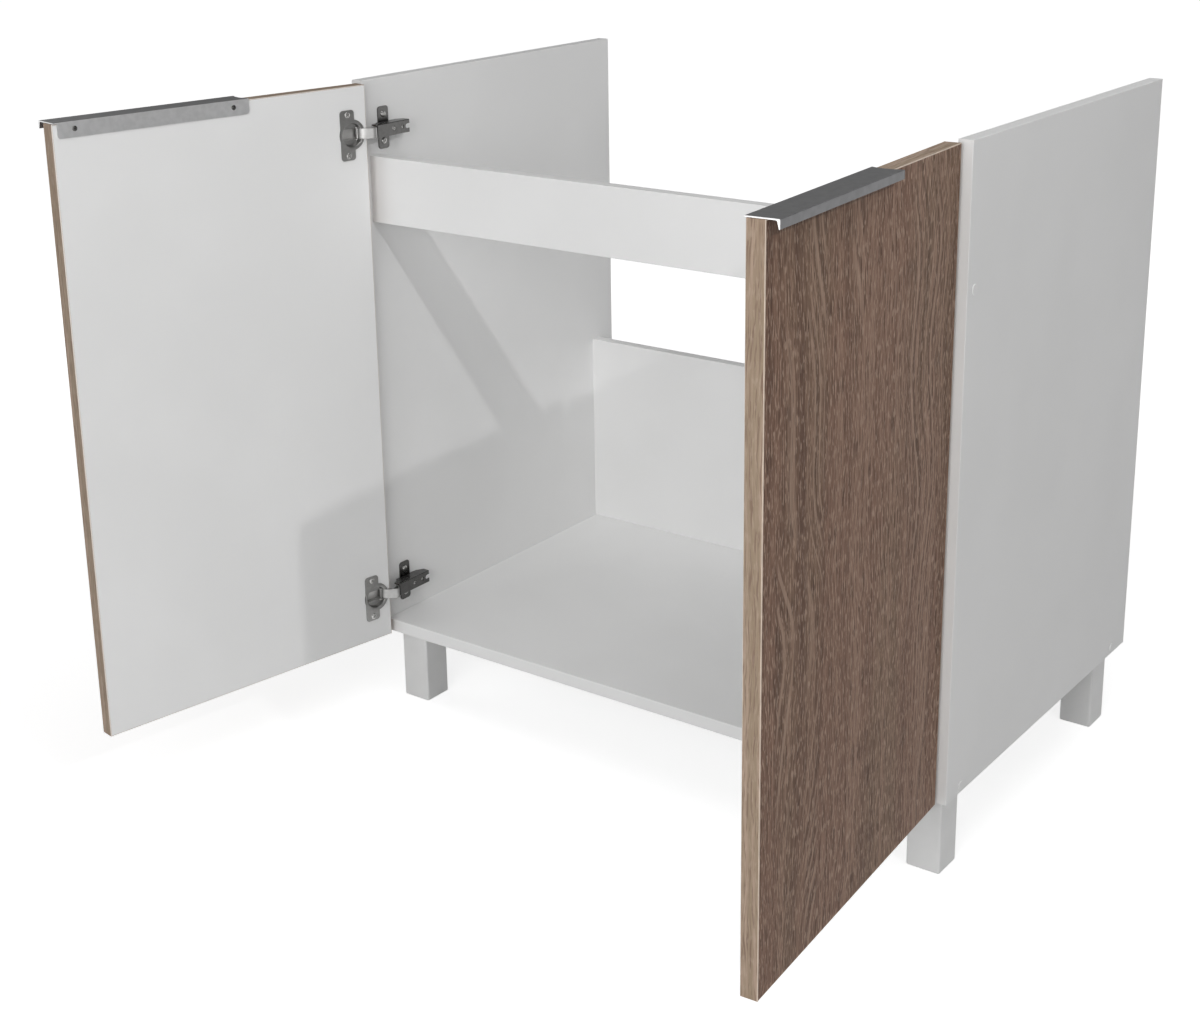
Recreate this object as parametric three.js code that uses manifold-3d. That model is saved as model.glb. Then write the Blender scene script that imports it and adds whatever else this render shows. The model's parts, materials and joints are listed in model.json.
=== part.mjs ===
// Sink base cabinet, 800 mm wide: an open-topped carcass of 16 mm melamine board on four square
// legs, closed by two wood-grain doors. Each door hangs on two concealed cup hinges and has an
// aluminium edge handle along the free end of its top.
//
// Millimetres, +Z up, +Y towards the wall, doors on the -Y side. While it is built, the cabinet
// stands with its left-right middle at x = 0, the front edges of its sides at y = 0 and the floor
// at z = 0. The finished group is then moved so that the origin lies on the floor under the middle
// of the whole object. The doors stand open as modelled, and that is zero on each of their joints.

import * as THREE from 'three';
import { mergeVertices } from 'three/addons/utils/BufferGeometryUtils.js';
import Module from 'manifold-3d';

const wasm = await Module();
wasm.setup();

// ---- driving dimensions -------------------------------------------------------------------------

const WIDTH = 800;
const DEPTH = 490;
const HEIGHT = 800;
const LEG_HEIGHT = 100;
const LEG_SIZE = 40;
const BOARD = 16;

const RAIL_HEIGHT = 80;
const RAIL_TOP = 710;
const RAIL_SETBACK = 8;
const BACK_HEIGHT = 266;
const BACK_INSET = 30; // from the rear edges of the sides to the back panel's rear face

const LEG_FRONT_SETBACK = 24;
const LEG_REAR_SETBACK = 14;

const DOOR_THICKNESS = 18;
const DOOR_WIDTH = 396;
const DOOR_BOTTOM = 101;
const DOOR_TOP = 797.5;
const DOOR_REVEAL = 2; // side's outer face to the closed door's hinge edge
const DOOR_STANDOFF = 2; // closed door's inner face to the sides' front edges

const LEFT_OPENING = 100.5; // degrees from closed, as the doors stand
const RIGHT_OPENING = 94;

const HANDLE_LENGTH = 236;
const HANDLE_PLATE = 1.2;
const HANDLE_OVERHANG = 11.7;
const HANDLE_FLANGE = 17;
const HANDLE_FLANGE_SETBACK = 4.5; // free end of the plate to the flange's
const HANDLE_LIP = 8.5;
const HANDLE_SCREW_SPACING = 192;
const HANDLE_SCREW_DROP = 8; // below the top of the handle

const GAP = 0.3; // between two pieces where one is cut for, or lies on, the other
const CUP_SIDES = 24;
const PIN_SIDES = 10;
const SCREW_SIDES = 8;
const CORNER_STEPS = 3;

// Hinge plan, seen from above with the door closed. x runs inwards from the outer face of the side
// that carries the hinge, and y as in the cabinet. The outer link turns on the arm and carries the
// door's cup at its other end. The inner link turns on the arm behind it.
const HINGE_INSET = 56.5; // hinge centre to the nearer end of the door
const ARM_PIVOT = [28.7, 7.5];
const CUP_PIVOT = [10.5, -9];
const INNER_PIVOT = [26.1, 13.4];
const LINK_RATIO = 0.277; // turn of the outer link for one turn of the door, the opposite way
const INNER_LINK_RATIO = 0.4;
const LINK_BENDS = [
  [12.7, -11.7], [15.5, -12.4], [19.2, -12.4], [25.5, -10.6], [31.6, -8.2], [32.6, -6], [30.5, 1.5],
];
const INNER_LINK_PATH = [[17, -3.9], [19.6, 0.2], [22.4, 5.8], INNER_PIVOT];
const LINK_THICKNESS = 1.5;
const LINK_HALF_HEIGHT = 6;
const LINK_FORK_HALF_HEIGHT = 4.2; // clear half height between the two cheeks of its arm end
const INNER_LINK_HALF_HEIGHT = 3.6;
const ARM_PIN_RADIUS = 1.5;
const CUP_PIN_RADIUS = 1.2;
const EYE_WALL = 0.9; // least wall of a link round its pin

const ARM_INNER_HALF = 6.5; // clear half height between the arm's cheeks
const ARM_SHEET = 1.4;
const ARM_WEB_X = 34.6; // outer face of the arm's web
const ARM_REAR_Y = 60;
const ARM_CHEEK = [[25, ARM_REAR_Y], [19.4, 50], [19.4, 20], [23.6, 9], [25.4, 3]];
const ARM_NOTCH = 6.5; // the open slot in the rear end of the web
const PLATE_THICKNESS = 1.6;
const PLATE_WINGS = [18, 51];
const PLATE_BED_HEIGHT = 6.4; // above the side's inner face
const PLATE_SCREW_SPACING = 32;
const PLATE_SETBACK = 32.5; // front edge of the side to the mounting plate's screws

const CUP_RADIUS = 17.2;
const CUP_RIM = 0.8;
const CUP_EDGE_DISTANCE = 21.5; // door's hinge edge to the cup's centre
const CUP_DEPTH = 12.1;
const CUP_SHEET = 0.4; // floor of the cup under the links
const CUP_FLANGE = [20, 59];
const CUP_FLANGE_THICKNESS = 1;
const CUP_SCREW_OFFSET = 6;
const CUP_SCREW_SPACING = 48;
const POCKET_HALF_HEIGHT = 6.4;

// ---- finishes -----------------------------------------------------------------------------------

const finish = (color, roughness, metalness) =>
  new THREE.MeshStandardMaterial({ color, roughness, metalness });
const WHITE_BOARD = finish(0xe9e9e7, 0.55, 0);
const OAK_BOARD = finish(0x6f5a4e, 0.6, 0);
const ALUMINIUM = finish(0xa3a5a7, 0.4, 0.9);
const NICKEL = finish(0x9b9a97, 0.25, 1);
const ZINC = finish(0xb9b9b5, 0.35, 1);
const WHITE_PLASTIC = finish(0xe4e4e2, 0.5, 0);

// ---- solids -------------------------------------------------------------------------------------

function toSolid(geometry) {
  const bare = geometry.index ? geometry.toNonIndexed() : geometry.clone();
  bare.deleteAttribute('normal');
  bare.deleteAttribute('uv');
  const merged = mergeVertices(bare, 1e-4);
  return new wasm.Manifold(new wasm.Mesh({
    numProp: 3,
    vertProperties: new Float32Array(merged.attributes.position.array),
    triVerts: new Uint32Array(merged.index.array),
  }));
}

function toGeometry(solid) {
  const { vertProperties, triVerts } = solid.getMesh();
  const geometry = new THREE.BufferGeometry();
  geometry.setAttribute('position', new THREE.BufferAttribute(new Float32Array(vertProperties), 3));
  geometry.setIndex(new THREE.BufferAttribute(new Uint32Array(triVerts), 1));
  geometry.computeVertexNormals();
  return geometry;
}

function shape(added, removed = []) {
  let solid = toSolid(added[0]);
  for (const geometry of added.slice(1)) solid = solid.add(toSolid(geometry));
  for (const geometry of removed) solid = solid.subtract(toSolid(geometry));
  return toGeometry(solid);
}

function block([x0, x1], [y0, y1], [z0, z1]) {
  const geometry = new THREE.BoxGeometry(Math.abs(x1 - x0), Math.abs(y1 - y0), Math.abs(z1 - z0));
  return geometry.translate((x0 + x1) / 2, (y0 + y1) / 2, (z0 + z1) / 2);
}

// A cylinder from one point to another along X, Y or Z, or any other direction.
function rod(from, to, radius, sides = PIN_SIDES) {
  const start = new THREE.Vector3(...from);
  const span = new THREE.Vector3(...to).sub(start);
  const geometry = new THREE.CylinderGeometry(radius, radius, span.length(), sides);
  const turn = new THREE.Quaternion().setFromUnitVectors(new THREE.Vector3(0, 1, 0), span.clone().normalize());
  return geometry.applyQuaternion(turn).translate(...start.addScaledVector(span, 0.5).toArray());
}

// A body of revolution along a direction: profile points are [radius, distance from the start].
function turnedBody(profile, start, direction, sides = SCREW_SIDES) {
  const points = profile.map(([radius, along]) => new THREE.Vector2(radius, along));
  const geometry = new THREE.LatheGeometry(points, sides);
  const turn = new THREE.Quaternion().setFromUnitVectors(
    new THREE.Vector3(0, 1, 0), new THREE.Vector3(...direction));
  return geometry.applyQuaternion(turn).translate(...start);
}

// A flat outline in plan, extruded evenly above and below a height.
function planSlab(points, centreHeight, halfHeight) {
  const outline = new THREE.Shape(points.map(([x, y]) => new THREE.Vector2(x, y)));
  const settings = { depth: 2 * halfHeight, bevelEnabled: false };
  return new THREE.ExtrudeGeometry(outline, settings).translate(0, 0, centreHeight - halfHeight);
}

// A rectangle with rounded corners. radii: lower left, lower right, upper right, upper left.
function roundedRectangle(width, height, radii) {
  const [lowerLeft, lowerRight, upperRight, upperLeft] = radii;
  const [x, y] = [width / 2, height / 2];
  const outline = new THREE.Shape().moveTo(-x + lowerLeft, -y);
  outline.lineTo(x - lowerRight, -y).quadraticCurveTo(x, -y, x, -y + lowerRight);
  outline.lineTo(x, y - upperRight).quadraticCurveTo(x, y, x - upperRight, y);
  outline.lineTo(-x + upperLeft, y).quadraticCurveTo(-x, y, -x, y - upperLeft);
  outline.lineTo(-x, -y + lowerLeft).quadraticCurveTo(-x, -y, -x + lowerLeft, -y);
  return outline;
}

// The plan outline of a strip of even thickness that follows a smooth curve through the points.
function stripOutline(points, thickness, steps) {
  const curve = new THREE.CatmullRomCurve3(points.map(([x, y]) => new THREE.Vector3(x, y, 0)));
  const edge = (side) => Array.from({ length: steps + 1 }, (_, step) => {
    const { x, y } = curve.getPointAt(step / steps);
    const along = curve.getTangentAt(step / steps);
    return [x - side * along.y * thickness / 2, y + side * along.x * thickness / 2];
  });
  return [...edge(1), ...edge(-1).reverse()];
}

function piece(parent, name, geometry, material) {
  const mesh = new THREE.Mesh(geometry, material);
  mesh.name = name;
  parent.add(mesh);
  return mesh;
}

// Whatever is added to the inner group is placed as in the closed cabinet, and turned about a pivot.
function turnedGroup(parent, [x, y], degrees) {
  const pivot = new THREE.Group();
  pivot.position.set(x, y, 0);
  pivot.rotation.z = THREE.MathUtils.degToRad(degrees);
  const held = new THREE.Group();
  held.position.set(-x, -y, 0);
  pivot.add(held);
  parent.add(pivot);
  return held;
}

// ---- fasteners ----------------------------------------------------------------------------------

// A screw's outline: countersunk or raised head, shank, and a pointed end. The same outline made
// wider by the gap, and carried on past the head, is its hole.
const SCREWS = {
  confirmat: { headRadius: 4.8, headHeight: 3, coneHeight: 2, shankRadius: 2.5, length: 46 },
  chipboard: { headRadius: 3.6, headHeight: 1, coneHeight: 0, shankRadius: 1.6, length: 14 },
  euro: { headRadius: 3.9, headHeight: 1.4, coneHeight: 0, shankRadius: 2.6, length: 12.6 },
  handle: { headRadius: 2.9, headHeight: 0.9, coneHeight: 0, shankRadius: 1.5, length: 13 },
};
const SCREW_POINT = 2;
const HOLE_REACH = 4; // how far a hole is cut out past the screw's head

function screw(kind, start, direction) {
  const { headRadius, headHeight, coneHeight, shankRadius, length } = SCREWS[kind];
  const neck = headHeight + coneHeight;
  return turnedBody([
    [0, 0], [headRadius, 0], [headRadius, headHeight], [shankRadius, neck],
    [shankRadius, length - SCREW_POINT], [0, length],
  ], start, direction);
}

function screwHole(kind, start, direction) {
  const { headRadius, headHeight, coneHeight, shankRadius, length } = SCREWS[kind];
  const countersunk = coneHeight > 0;
  const mouth = (countersunk ? headRadius : shankRadius) + GAP;
  const neck = headHeight + coneHeight + (countersunk ? GAP : 0);
  return turnedBody([
    [0, -HOLE_REACH], [mouth, -HOLE_REACH], [mouth, headHeight + GAP], [shankRadius + GAP, neck + GAP],
    [shankRadius + GAP, length + GAP], [0, length + GAP],
  ], start, direction);
}

// ---- carcass ------------------------------------------------------------------------------------

const cabinet = new THREE.Group();
const SIDES = [['left', -1, LEFT_OPENING], ['right', 1, RIGHT_OPENING]];
const INNER_HALF = WIDTH / 2 - BOARD;
const FLOOR_TOP = LEG_HEIGHT + BOARD;
const RAIL_MIDDLE_Y = RAIL_SETBACK + BOARD / 2;
const BACK_FRONT_Y = DEPTH - BACK_INSET - BOARD;
const HINGE_LEVELS = [['upper', DOOR_TOP - HINGE_INSET], ['lower', DOOR_BOTTOM + HINGE_INSET]];
const ENDS = [['upper', 1], ['lower', -1]];

// Where the sides are screwed to the rail and to the bottom: name, y and z.
const CARCASS_SCREWS = [
  ['rail', RAIL_MIDDLE_Y, 652],
  ['bottom_front', 34, LEG_HEIGHT + BOARD / 2],
  ['bottom_rear', 450, LEG_HEIGHT + BOARD / 2],
];
const CONFIRMAT_SINK = 0.5;

const carcassScrewAt = (side, y, z) => [[side * (WIDTH / 2 - CONFIRMAT_SINK), y, z], [-side, 0, 0]];
const carcassHoles = (side, names) => CARCASS_SCREWS
  .filter(([name]) => names.includes(name))
  .map(([, y, z]) => screwHole('confirmat', ...carcassScrewAt(side, y, z)));

const plateScrewAt = (side, centre, end) => [
  [side * (INNER_HALF - PLATE_THICKNESS - SCREWS.euro.headHeight),
    PLATE_SETBACK, centre + end * PLATE_SCREW_SPACING / 2], [side, 0, 0]];

function sidePanel(side) {
  const holes = carcassHoles(side, ['rail', 'bottom_front', 'bottom_rear']);
  for (const [, centre] of HINGE_LEVELS) {
    for (const [, end] of ENDS) holes.push(screwHole('euro', ...plateScrewAt(side, centre, end)));
  }
  return shape([block([side * INNER_HALF, side * WIDTH / 2], [0, DEPTH], [LEG_HEIGHT, HEIGHT])], holes);
}

function crossPiece([y0, y1], [z0, z1], screws) {
  const holes = [...carcassHoles(-1, screws), ...carcassHoles(1, screws)];
  return shape([block([-INNER_HALF, INNER_HALF], [y0, y1], [z0, z1])], holes);
}

// A square leg with rounded upright edges and a soft lower rim.
function leg(side, y) {
  const soft = 2;
  const core = LEG_SIZE - 2 * soft;
  const outline = roundedRectangle(core, core, [1, 1, 1, 1]);
  const settings = {
    depth: LEG_HEIGHT - soft, curveSegments: CORNER_STEPS,
    bevelEnabled: true, bevelSize: soft, bevelThickness: soft, bevelSegments: 2,
  };
  const rounded = new THREE.ExtrudeGeometry(outline, settings);
  const x = side * (INNER_HALF - LEG_SIZE / 2);
  rounded.translate(x, y, soft);
  const reach = LEG_SIZE;
  const above = block([x - reach, x + reach], [y - reach, y + reach], [LEG_HEIGHT, LEG_HEIGHT + reach]);
  return shape([rounded], [above]);
}

for (const [name, side] of SIDES) piece(cabinet, `${name}_side_panel`, sidePanel(side), WHITE_BOARD);
piece(cabinet, 'bottom_panel',
  crossPiece([0, DEPTH], [LEG_HEIGHT, FLOOR_TOP], ['bottom_front', 'bottom_rear']), WHITE_BOARD);
piece(cabinet, 'front_rail',
  crossPiece([RAIL_SETBACK, RAIL_SETBACK + BOARD], [RAIL_TOP - RAIL_HEIGHT, RAIL_TOP], ['rail']), WHITE_BOARD);
piece(cabinet, 'back_panel',
  crossPiece([BACK_FRONT_Y, BACK_FRONT_Y + BOARD], [FLOOR_TOP, FLOOR_TOP + BACK_HEIGHT], []), WHITE_BOARD);

for (const [name, side] of SIDES) {
  piece(cabinet, `front_${name}_leg`, leg(side, LEG_FRONT_SETBACK + LEG_SIZE / 2), WHITE_PLASTIC);
  piece(cabinet, `rear_${name}_leg`, leg(side, DEPTH - LEG_REAR_SETBACK - LEG_SIZE / 2), WHITE_PLASTIC);
  for (const [place, y, z] of CARCASS_SCREWS) {
    piece(cabinet, `${name}_${place}_screw`, screw('confirmat', ...carcassScrewAt(side, y, z)), ZINC);
  }
}

// ---- hinges -------------------------------------------------------------------------------------

// From the hinge plan to the cabinet: side is -1 on the left and 1 on the right.
const planX = (side, x) => side * (WIDTH / 2 - x);
const planPoint = (side, [x, y]) => [planX(side, x), y];
const planPoints = (side, points) => points.map((point) => planPoint(side, point));
const planSpan = (side, x0, x1) => [planX(side, x0), planX(side, x1)];
const planRod = (side, [x, y], z0, z1, radius, sides) =>
  rod([planX(side, x), y, z0], [planX(side, x), y, z1], radius, sides);

const DOOR_INNER_Y = -DOOR_STANDOFF;
const DOOR_OUTER_Y = DOOR_INNER_Y - DOOR_THICKNESS;
const CUP_X = DOOR_REVEAL + CUP_EDGE_DISTANCE;
const CUP_FLANGE_X = CUP_X + CUP_SCREW_OFFSET + 0.5;
const CUP_FLANGE_Y = DOOR_INNER_Y + GAP;
const CUP_TOP_Y = CUP_FLANGE_Y + CUP_FLANGE_THICKNESS;
const CUP_BOTTOM_Y = DOOR_INNER_Y - CUP_DEPTH;
const REACH = 5; // how far a cut is carried past the faces it opens

const cupScrewAt = (side, centre, end) => [
  [planX(side, CUP_X + CUP_SCREW_OFFSET), CUP_TOP_Y + SCREWS.chipboard.headHeight,
    centre + end * CUP_SCREW_SPACING / 2], [0, -1, 0]];

// The pressed cup: a shallow pot with a pocket for the links, a rim, and a long flange for two
// screws. The rim and the pot's wall are notched at the door's edge, where the link swings through.
function hingeCup(side, centre) {
  const [x, y] = [planX(side, CUP_X), CUP_FLANGE_Y];
  const flange = new THREE.ExtrudeGeometry(roundedRectangle(...CUP_FLANGE, [4, 4, 4, 4]),
    { depth: CUP_FLANGE_THICKNESS, bevelEnabled: false, curveSegments: CORNER_STEPS });
  flange.rotateX(Math.PI / 2).translate(planX(side, CUP_FLANGE_X), CUP_TOP_Y, centre);
  const pinHalf = POCKET_HALF_HEIGHT + CUP_SHEET;
  const pocket = (from, to, low) => block(planSpan(side, from, to), [low, REACH],
    [centre - POCKET_HALF_HEIGHT, centre + POCKET_HALF_HEIGHT]);
  const pot = shape([
    rod([x, CUP_BOTTOM_Y, centre], [x, y + CUP_FLANGE_THICKNESS / 2, centre], CUP_RADIUS, CUP_SIDES),
    rod([x, y, centre], [x, CUP_TOP_Y, centre], CUP_RADIUS + CUP_RIM, CUP_SIDES),
    flange,
  ], [
    pocket(CUP_X - 15.5, CUP_X + 15, CUP_BOTTOM_Y + CUP_SHEET),
    pocket(0, CUP_X - 13.5, DOOR_INNER_Y - CUP_FLANGE_THICKNESS - CUP_SHEET),
    ...ENDS.map(([, end]) => screwHole('chipboard', ...cupScrewAt(side, centre, end))),
  ]);
  return shape([pot, planRod(side, CUP_PIVOT, centre - pinHalf, centre + pinHalf, CUP_PIN_RADIUS)]);
}

// A bent strip that turns on the arm at one end and on the cup's pin at the other. Its arm end is
// forked, so that the inner link can pass between the cheeks.
function outerLink(side, centre) {
  const half = LINK_HALF_HEIGHT;
  const path = planPoints(side, [CUP_PIVOT, ...LINK_BENDS, ARM_PIVOT]);
  const armHole = ARM_PIN_RADIUS + GAP;
  const cupHole = CUP_PIN_RADIUS + GAP;
  const [pivotX, pivotY] = ARM_PIVOT;
  return shape([
    planSlab(stripOutline(path, LINK_THICKNESS, 20), centre, half),
    planRod(side, ARM_PIVOT, centre - half, centre + half, armHole + EYE_WALL),
    planRod(side, CUP_PIVOT, centre - half, centre + half, cupHole + EYE_WALL * 2 / 3),
  ], [
    planRod(side, ARM_PIVOT, centre - half - REACH, centre + half + REACH, armHole),
    planRod(side, CUP_PIVOT, centre - half - REACH, centre + half + REACH, cupHole),
    block(planSpan(side, pivotX - REACH, pivotX + REACH), [pivotY - REACH - GAP, pivotY + REACH],
      [centre - LINK_FORK_HALF_HEIGHT, centre + LINK_FORK_HALF_HEIGHT]),
  ]);
}

function innerLink(side, centre) {
  const half = INNER_LINK_HALF_HEIGHT;
  const hole = ARM_PIN_RADIUS + GAP;
  return shape([
    planSlab(stripOutline(planPoints(side, INNER_LINK_PATH), LINK_THICKNESS, 5), centre, half),
    planRod(side, INNER_PIVOT, centre - half, centre + half, hole + EYE_WALL * 2 / 3),
  ], [planRod(side, INNER_PIVOT, centre - half - REACH, centre + half + REACH, hole)]);
}

// A channel over the mounting plate: two cheeks joined by a web, with a notch at the rear end. The
// outer link turns on two stubs, one on each cheek, and the inner link on a pin right across.
function hingeArm(side, centre) {
  const cheekHalf = ARM_INNER_HALF + ARM_SHEET;
  const cheekFrontY = ARM_CHEEK.at(-1)[1];
  const outline = [[ARM_WEB_X, cheekFrontY], [ARM_WEB_X, ARM_REAR_Y], ...ARM_CHEEK];
  const webX = ARM_WEB_X - ARM_SHEET;
  const between = [centre - ARM_INNER_HALF, centre + ARM_INNER_HALF];
  const acrossWeb = (y) => [[planX(side, webX - 1), y, centre], [planX(side, ARM_WEB_X + 1), y, centre]];
  const notch = [centre - ARM_NOTCH * 0.43, centre + ARM_NOTCH * 0.43];
  const pinHalf = ARM_INNER_HALF + ARM_SHEET / 3;
  const sheet = shape([planSlab(planPoints(side, outline), centre, cheekHalf)], [
    block(planSpan(side, 0, webX), [cheekFrontY - REACH, ARM_REAR_Y + REACH], between),
    block(planSpan(side, webX - REACH, ARM_WEB_X + REACH), [cheekFrontY - REACH, cheekFrontY + 1.5], between),
    rod(...acrossWeb(PLATE_SETBACK), 3),
    rod(...acrossWeb(PLATE_SETBACK + 14.5), 2.6),
    block(planSpan(side, webX - 1, ARM_WEB_X + 1), [ARM_REAR_Y - ARM_NOTCH, ARM_REAR_Y + REACH], notch),
  ]);
  const stubs = ENDS.map(([, end]) => planRod(side, ARM_PIVOT,
    centre + end * pinHalf, centre + end * (INNER_LINK_HALF_HEIGHT + 0.4), ARM_PIN_RADIUS));
  return shape([sheet, ...stubs,
    planRod(side, INNER_PIVOT, centre - pinHalf, centre + pinHalf, ARM_PIN_RADIUS)]);
}

// A cross-shaped plate: two wings that are screwed to the side, and a raised bed for the arm.
function mountingPlate(side, centre) {
  const wings = new THREE.ExtrudeGeometry(roundedRectangle(...PLATE_WINGS, [4, 4, 4, 4]),
    { depth: PLATE_THICKNESS, bevelEnabled: false, curveSegments: CORNER_STEPS });
  wings.rotateX(Math.PI / 2).rotateZ(Math.PI / 2);
  wings.translate(side > 0 ? INNER_HALF - PLATE_THICKNESS : -INNER_HALF, PLATE_SETBACK, centre);
  const bedHalf = ARM_INNER_HALF - GAP - 0.2;
  const bed = block(planSpan(side, BOARD, BOARD + PLATE_BED_HEIGHT),
    [PLATE_SETBACK - 15.5, PLATE_SETBACK + 17.5], [centre - bedHalf, centre + bedHalf]);
  const holes = ENDS.map(([, end]) => screwHole('euro', ...plateScrewAt(side, centre, end)));
  return shape([wings, bed], holes);
}

// ---- doors --------------------------------------------------------------------------------------

const HANDLE_TOP = DOOR_TOP + GAP + HANDLE_PLATE;
const HANDLE_INNER_Y = DOOR_INNER_Y + GAP + HANDLE_PLATE;
const HANDLE_START = DOOR_REVEAL + DOOR_WIDTH - HANDLE_LENGTH - 1;
const HANDLE_SCREW_MIDDLE = HANDLE_START + HANDLE_LENGTH / 2 - 2;

const handleScrewAt = (side, end) => [
  [planX(side, HANDLE_SCREW_MIDDLE + end * HANDLE_SCREW_SPACING / 2),
    HANDLE_INNER_Y + SCREWS.handle.headHeight, HANDLE_TOP - HANDLE_SCREW_DROP], [0, -1, 0]];

function doorBoard(side) {
  const board = block(planSpan(side, DOOR_REVEAL, DOOR_REVEAL + DOOR_WIDTH),
    [DOOR_OUTER_Y, DOOR_INNER_Y], [DOOR_BOTTOM, DOOR_TOP]);
  const x = planX(side, CUP_X);
  const holes = ENDS.map(([, end]) => screwHole('handle', ...handleScrewAt(side, end)));
  for (const [, centre] of HINGE_LEVELS) {
    holes.push(rod([x, CUP_BOTTOM_Y - GAP, centre], [x, REACH, centre], CUP_RADIUS + GAP, CUP_SIDES));
    for (const [, end] of ENDS) holes.push(screwHole('chipboard', ...cupScrewAt(side, centre, end)));
  }
  return shape([board], holes);
}

// The handle is an angle that laps over the door's top: a flange screwed to the inner face, a plate
// along the top edge, and a lip that hangs in front of the outer face for the fingers. The lip is
// thick where it meets the plate and thins downwards.
const LIP_Y = DOOR_OUTER_Y - HANDLE_OVERHANG;
const LIP_EDGE = 0.9;
const LIP_ROOT = 2.6;
const LIP_FILLET = 1.6;
const PLATE_UNDERSIDE = HANDLE_TOP - HANDLE_PLATE;
const END_SWEEP_RADIUS = 36; // the shallow hollow that the hinge end of the plate is cut to
const END_SWEEP_DEPTH = 3.5;

function edgeHandle(side) {
  const profile = new THREE.Shape([
    [HANDLE_INNER_Y, HANDLE_TOP], [LIP_Y, HANDLE_TOP], [LIP_Y, HANDLE_TOP - HANDLE_LIP],
    [LIP_Y + LIP_EDGE, HANDLE_TOP - HANDLE_LIP], [LIP_Y + LIP_ROOT, PLATE_UNDERSIDE - LIP_FILLET / 2],
    [LIP_Y + LIP_ROOT + LIP_FILLET, PLATE_UNDERSIDE], [HANDLE_INNER_Y, PLATE_UNDERSIDE],
  ].map(([y, z]) => new THREE.Vector2(y, z)));
  const lapped = new THREE.ExtrudeGeometry(profile, { depth: HANDLE_LENGTH, bevelEnabled: false });
  lapped.rotateX(Math.PI / 2).rotateZ(Math.PI / 2);
  const [nearX, farX] = planSpan(side, HANDLE_START, HANDLE_START + HANDLE_LENGTH);
  lapped.translate(Math.min(nearX, farX), 0, 0);
  const flangeLength = HANDLE_LENGTH - HANDLE_FLANGE_SETBACK;
  const flange = new THREE.ExtrudeGeometry(roundedRectangle(flangeLength, HANDLE_FLANGE, [4, 4, 0, 0]),
    { depth: HANDLE_PLATE, bevelEnabled: false, curveSegments: CORNER_STEPS });
  flange.rotateX(Math.PI / 2)
    .translate(planX(side, HANDLE_START + flangeLength / 2), HANDLE_INNER_Y, HANDLE_TOP - HANDLE_FLANGE / 2);
  const sweepX = planX(side, HANDLE_START - END_SWEEP_RADIUS + END_SWEEP_DEPTH);
  const sweepY = (DOOR_OUTER_Y + DOOR_INNER_Y) / 2 - END_SWEEP_DEPTH * 1.5;
  return shape([lapped, flange], [
    rod([sweepX, sweepY, PLATE_UNDERSIDE - 0.1], [sweepX, sweepY, HANDLE_TOP + REACH], END_SWEEP_RADIUS, 60),
    ...ENDS.map(([, end]) => screwHole('handle', ...handleScrewAt(side, end))),
  ]);
}

for (const [name, side, opening] of SIDES) {
  const armPivot = planPoint(side, ARM_PIVOT);
  const outerLinks = turnedGroup(cabinet, armPivot, -side * LINK_RATIO * opening);
  const innerLinks = turnedGroup(cabinet, planPoint(side, INNER_PIVOT), -side * INNER_LINK_RATIO * opening);
  const door = turnedGroup(outerLinks, planPoint(side, CUP_PIVOT), side * (1 + LINK_RATIO) * opening);

  piece(door, `${name}_door`, doorBoard(side), OAK_BOARD);
  piece(door, `${name}_handle`, edgeHandle(side), ALUMINIUM);
  piece(door, `${name}_handle_hinge_end_screw`, screw('handle', ...handleScrewAt(side, -1)), ZINC);
  piece(door, `${name}_handle_free_end_screw`, screw('handle', ...handleScrewAt(side, 1)), ZINC);

  for (const [level, centre] of HINGE_LEVELS) {
    const hinge = `${name}_${level}`;
    piece(cabinet, `${hinge}_mounting_plate`, mountingPlate(side, centre), NICKEL);
    piece(cabinet, `${hinge}_hinge_arm`, hingeArm(side, centre), NICKEL);
    piece(outerLinks, `${hinge}_outer_link`, outerLink(side, centre), NICKEL);
    piece(innerLinks, `${hinge}_inner_link`, innerLink(side, centre), NICKEL);
    piece(door, `${hinge}_hinge_cup`, hingeCup(side, centre), NICKEL);
    for (const [place, end] of ENDS) {
      piece(cabinet, `${hinge}_plate_${place}_screw`, screw('euro', ...plateScrewAt(side, centre, end)), ZINC);
      piece(door, `${hinge}_cup_${place}_screw`, screw('chipboard', ...cupScrewAt(side, centre, end)), ZINC);
    }
  }
}

// ---- origin -------------------------------------------------------------------------------------

// The origin is on the floor under the middle of the object's box, to the nearest sixteenth.
cabinet.updateMatrixWorld(true);
const middle = new THREE.Box3().setFromObject(cabinet, true).getCenter(new THREE.Vector3());
const sixteenth = (value) => Math.round(value * 16) / 16;
cabinet.position.set(-sixteenth(middle.x), -sixteenth(middle.y), 0);
cabinet.updateMatrixWorld(true);

export default cabinet;
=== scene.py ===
"""Looks of an open-topped sink base cabinet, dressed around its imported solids.

The makers work in plan millimetres with the doors closed: x runs inwards from the outer face of
the side that carries the piece, y from the front edges of the sides towards the wall, and z up
from the floor. A Stand carries a finished mesh from there to its place in the row frame, turned
with the door or link that it belongs to.
"""

from __future__ import annotations

import json
import logging
import math
from collections.abc import Callable, Iterable, Mapping, Sequence
from dataclasses import dataclass, field
from enum import Enum
from typing import Any

import bmesh
import bpy
from mathutils import Matrix, Vector

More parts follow.
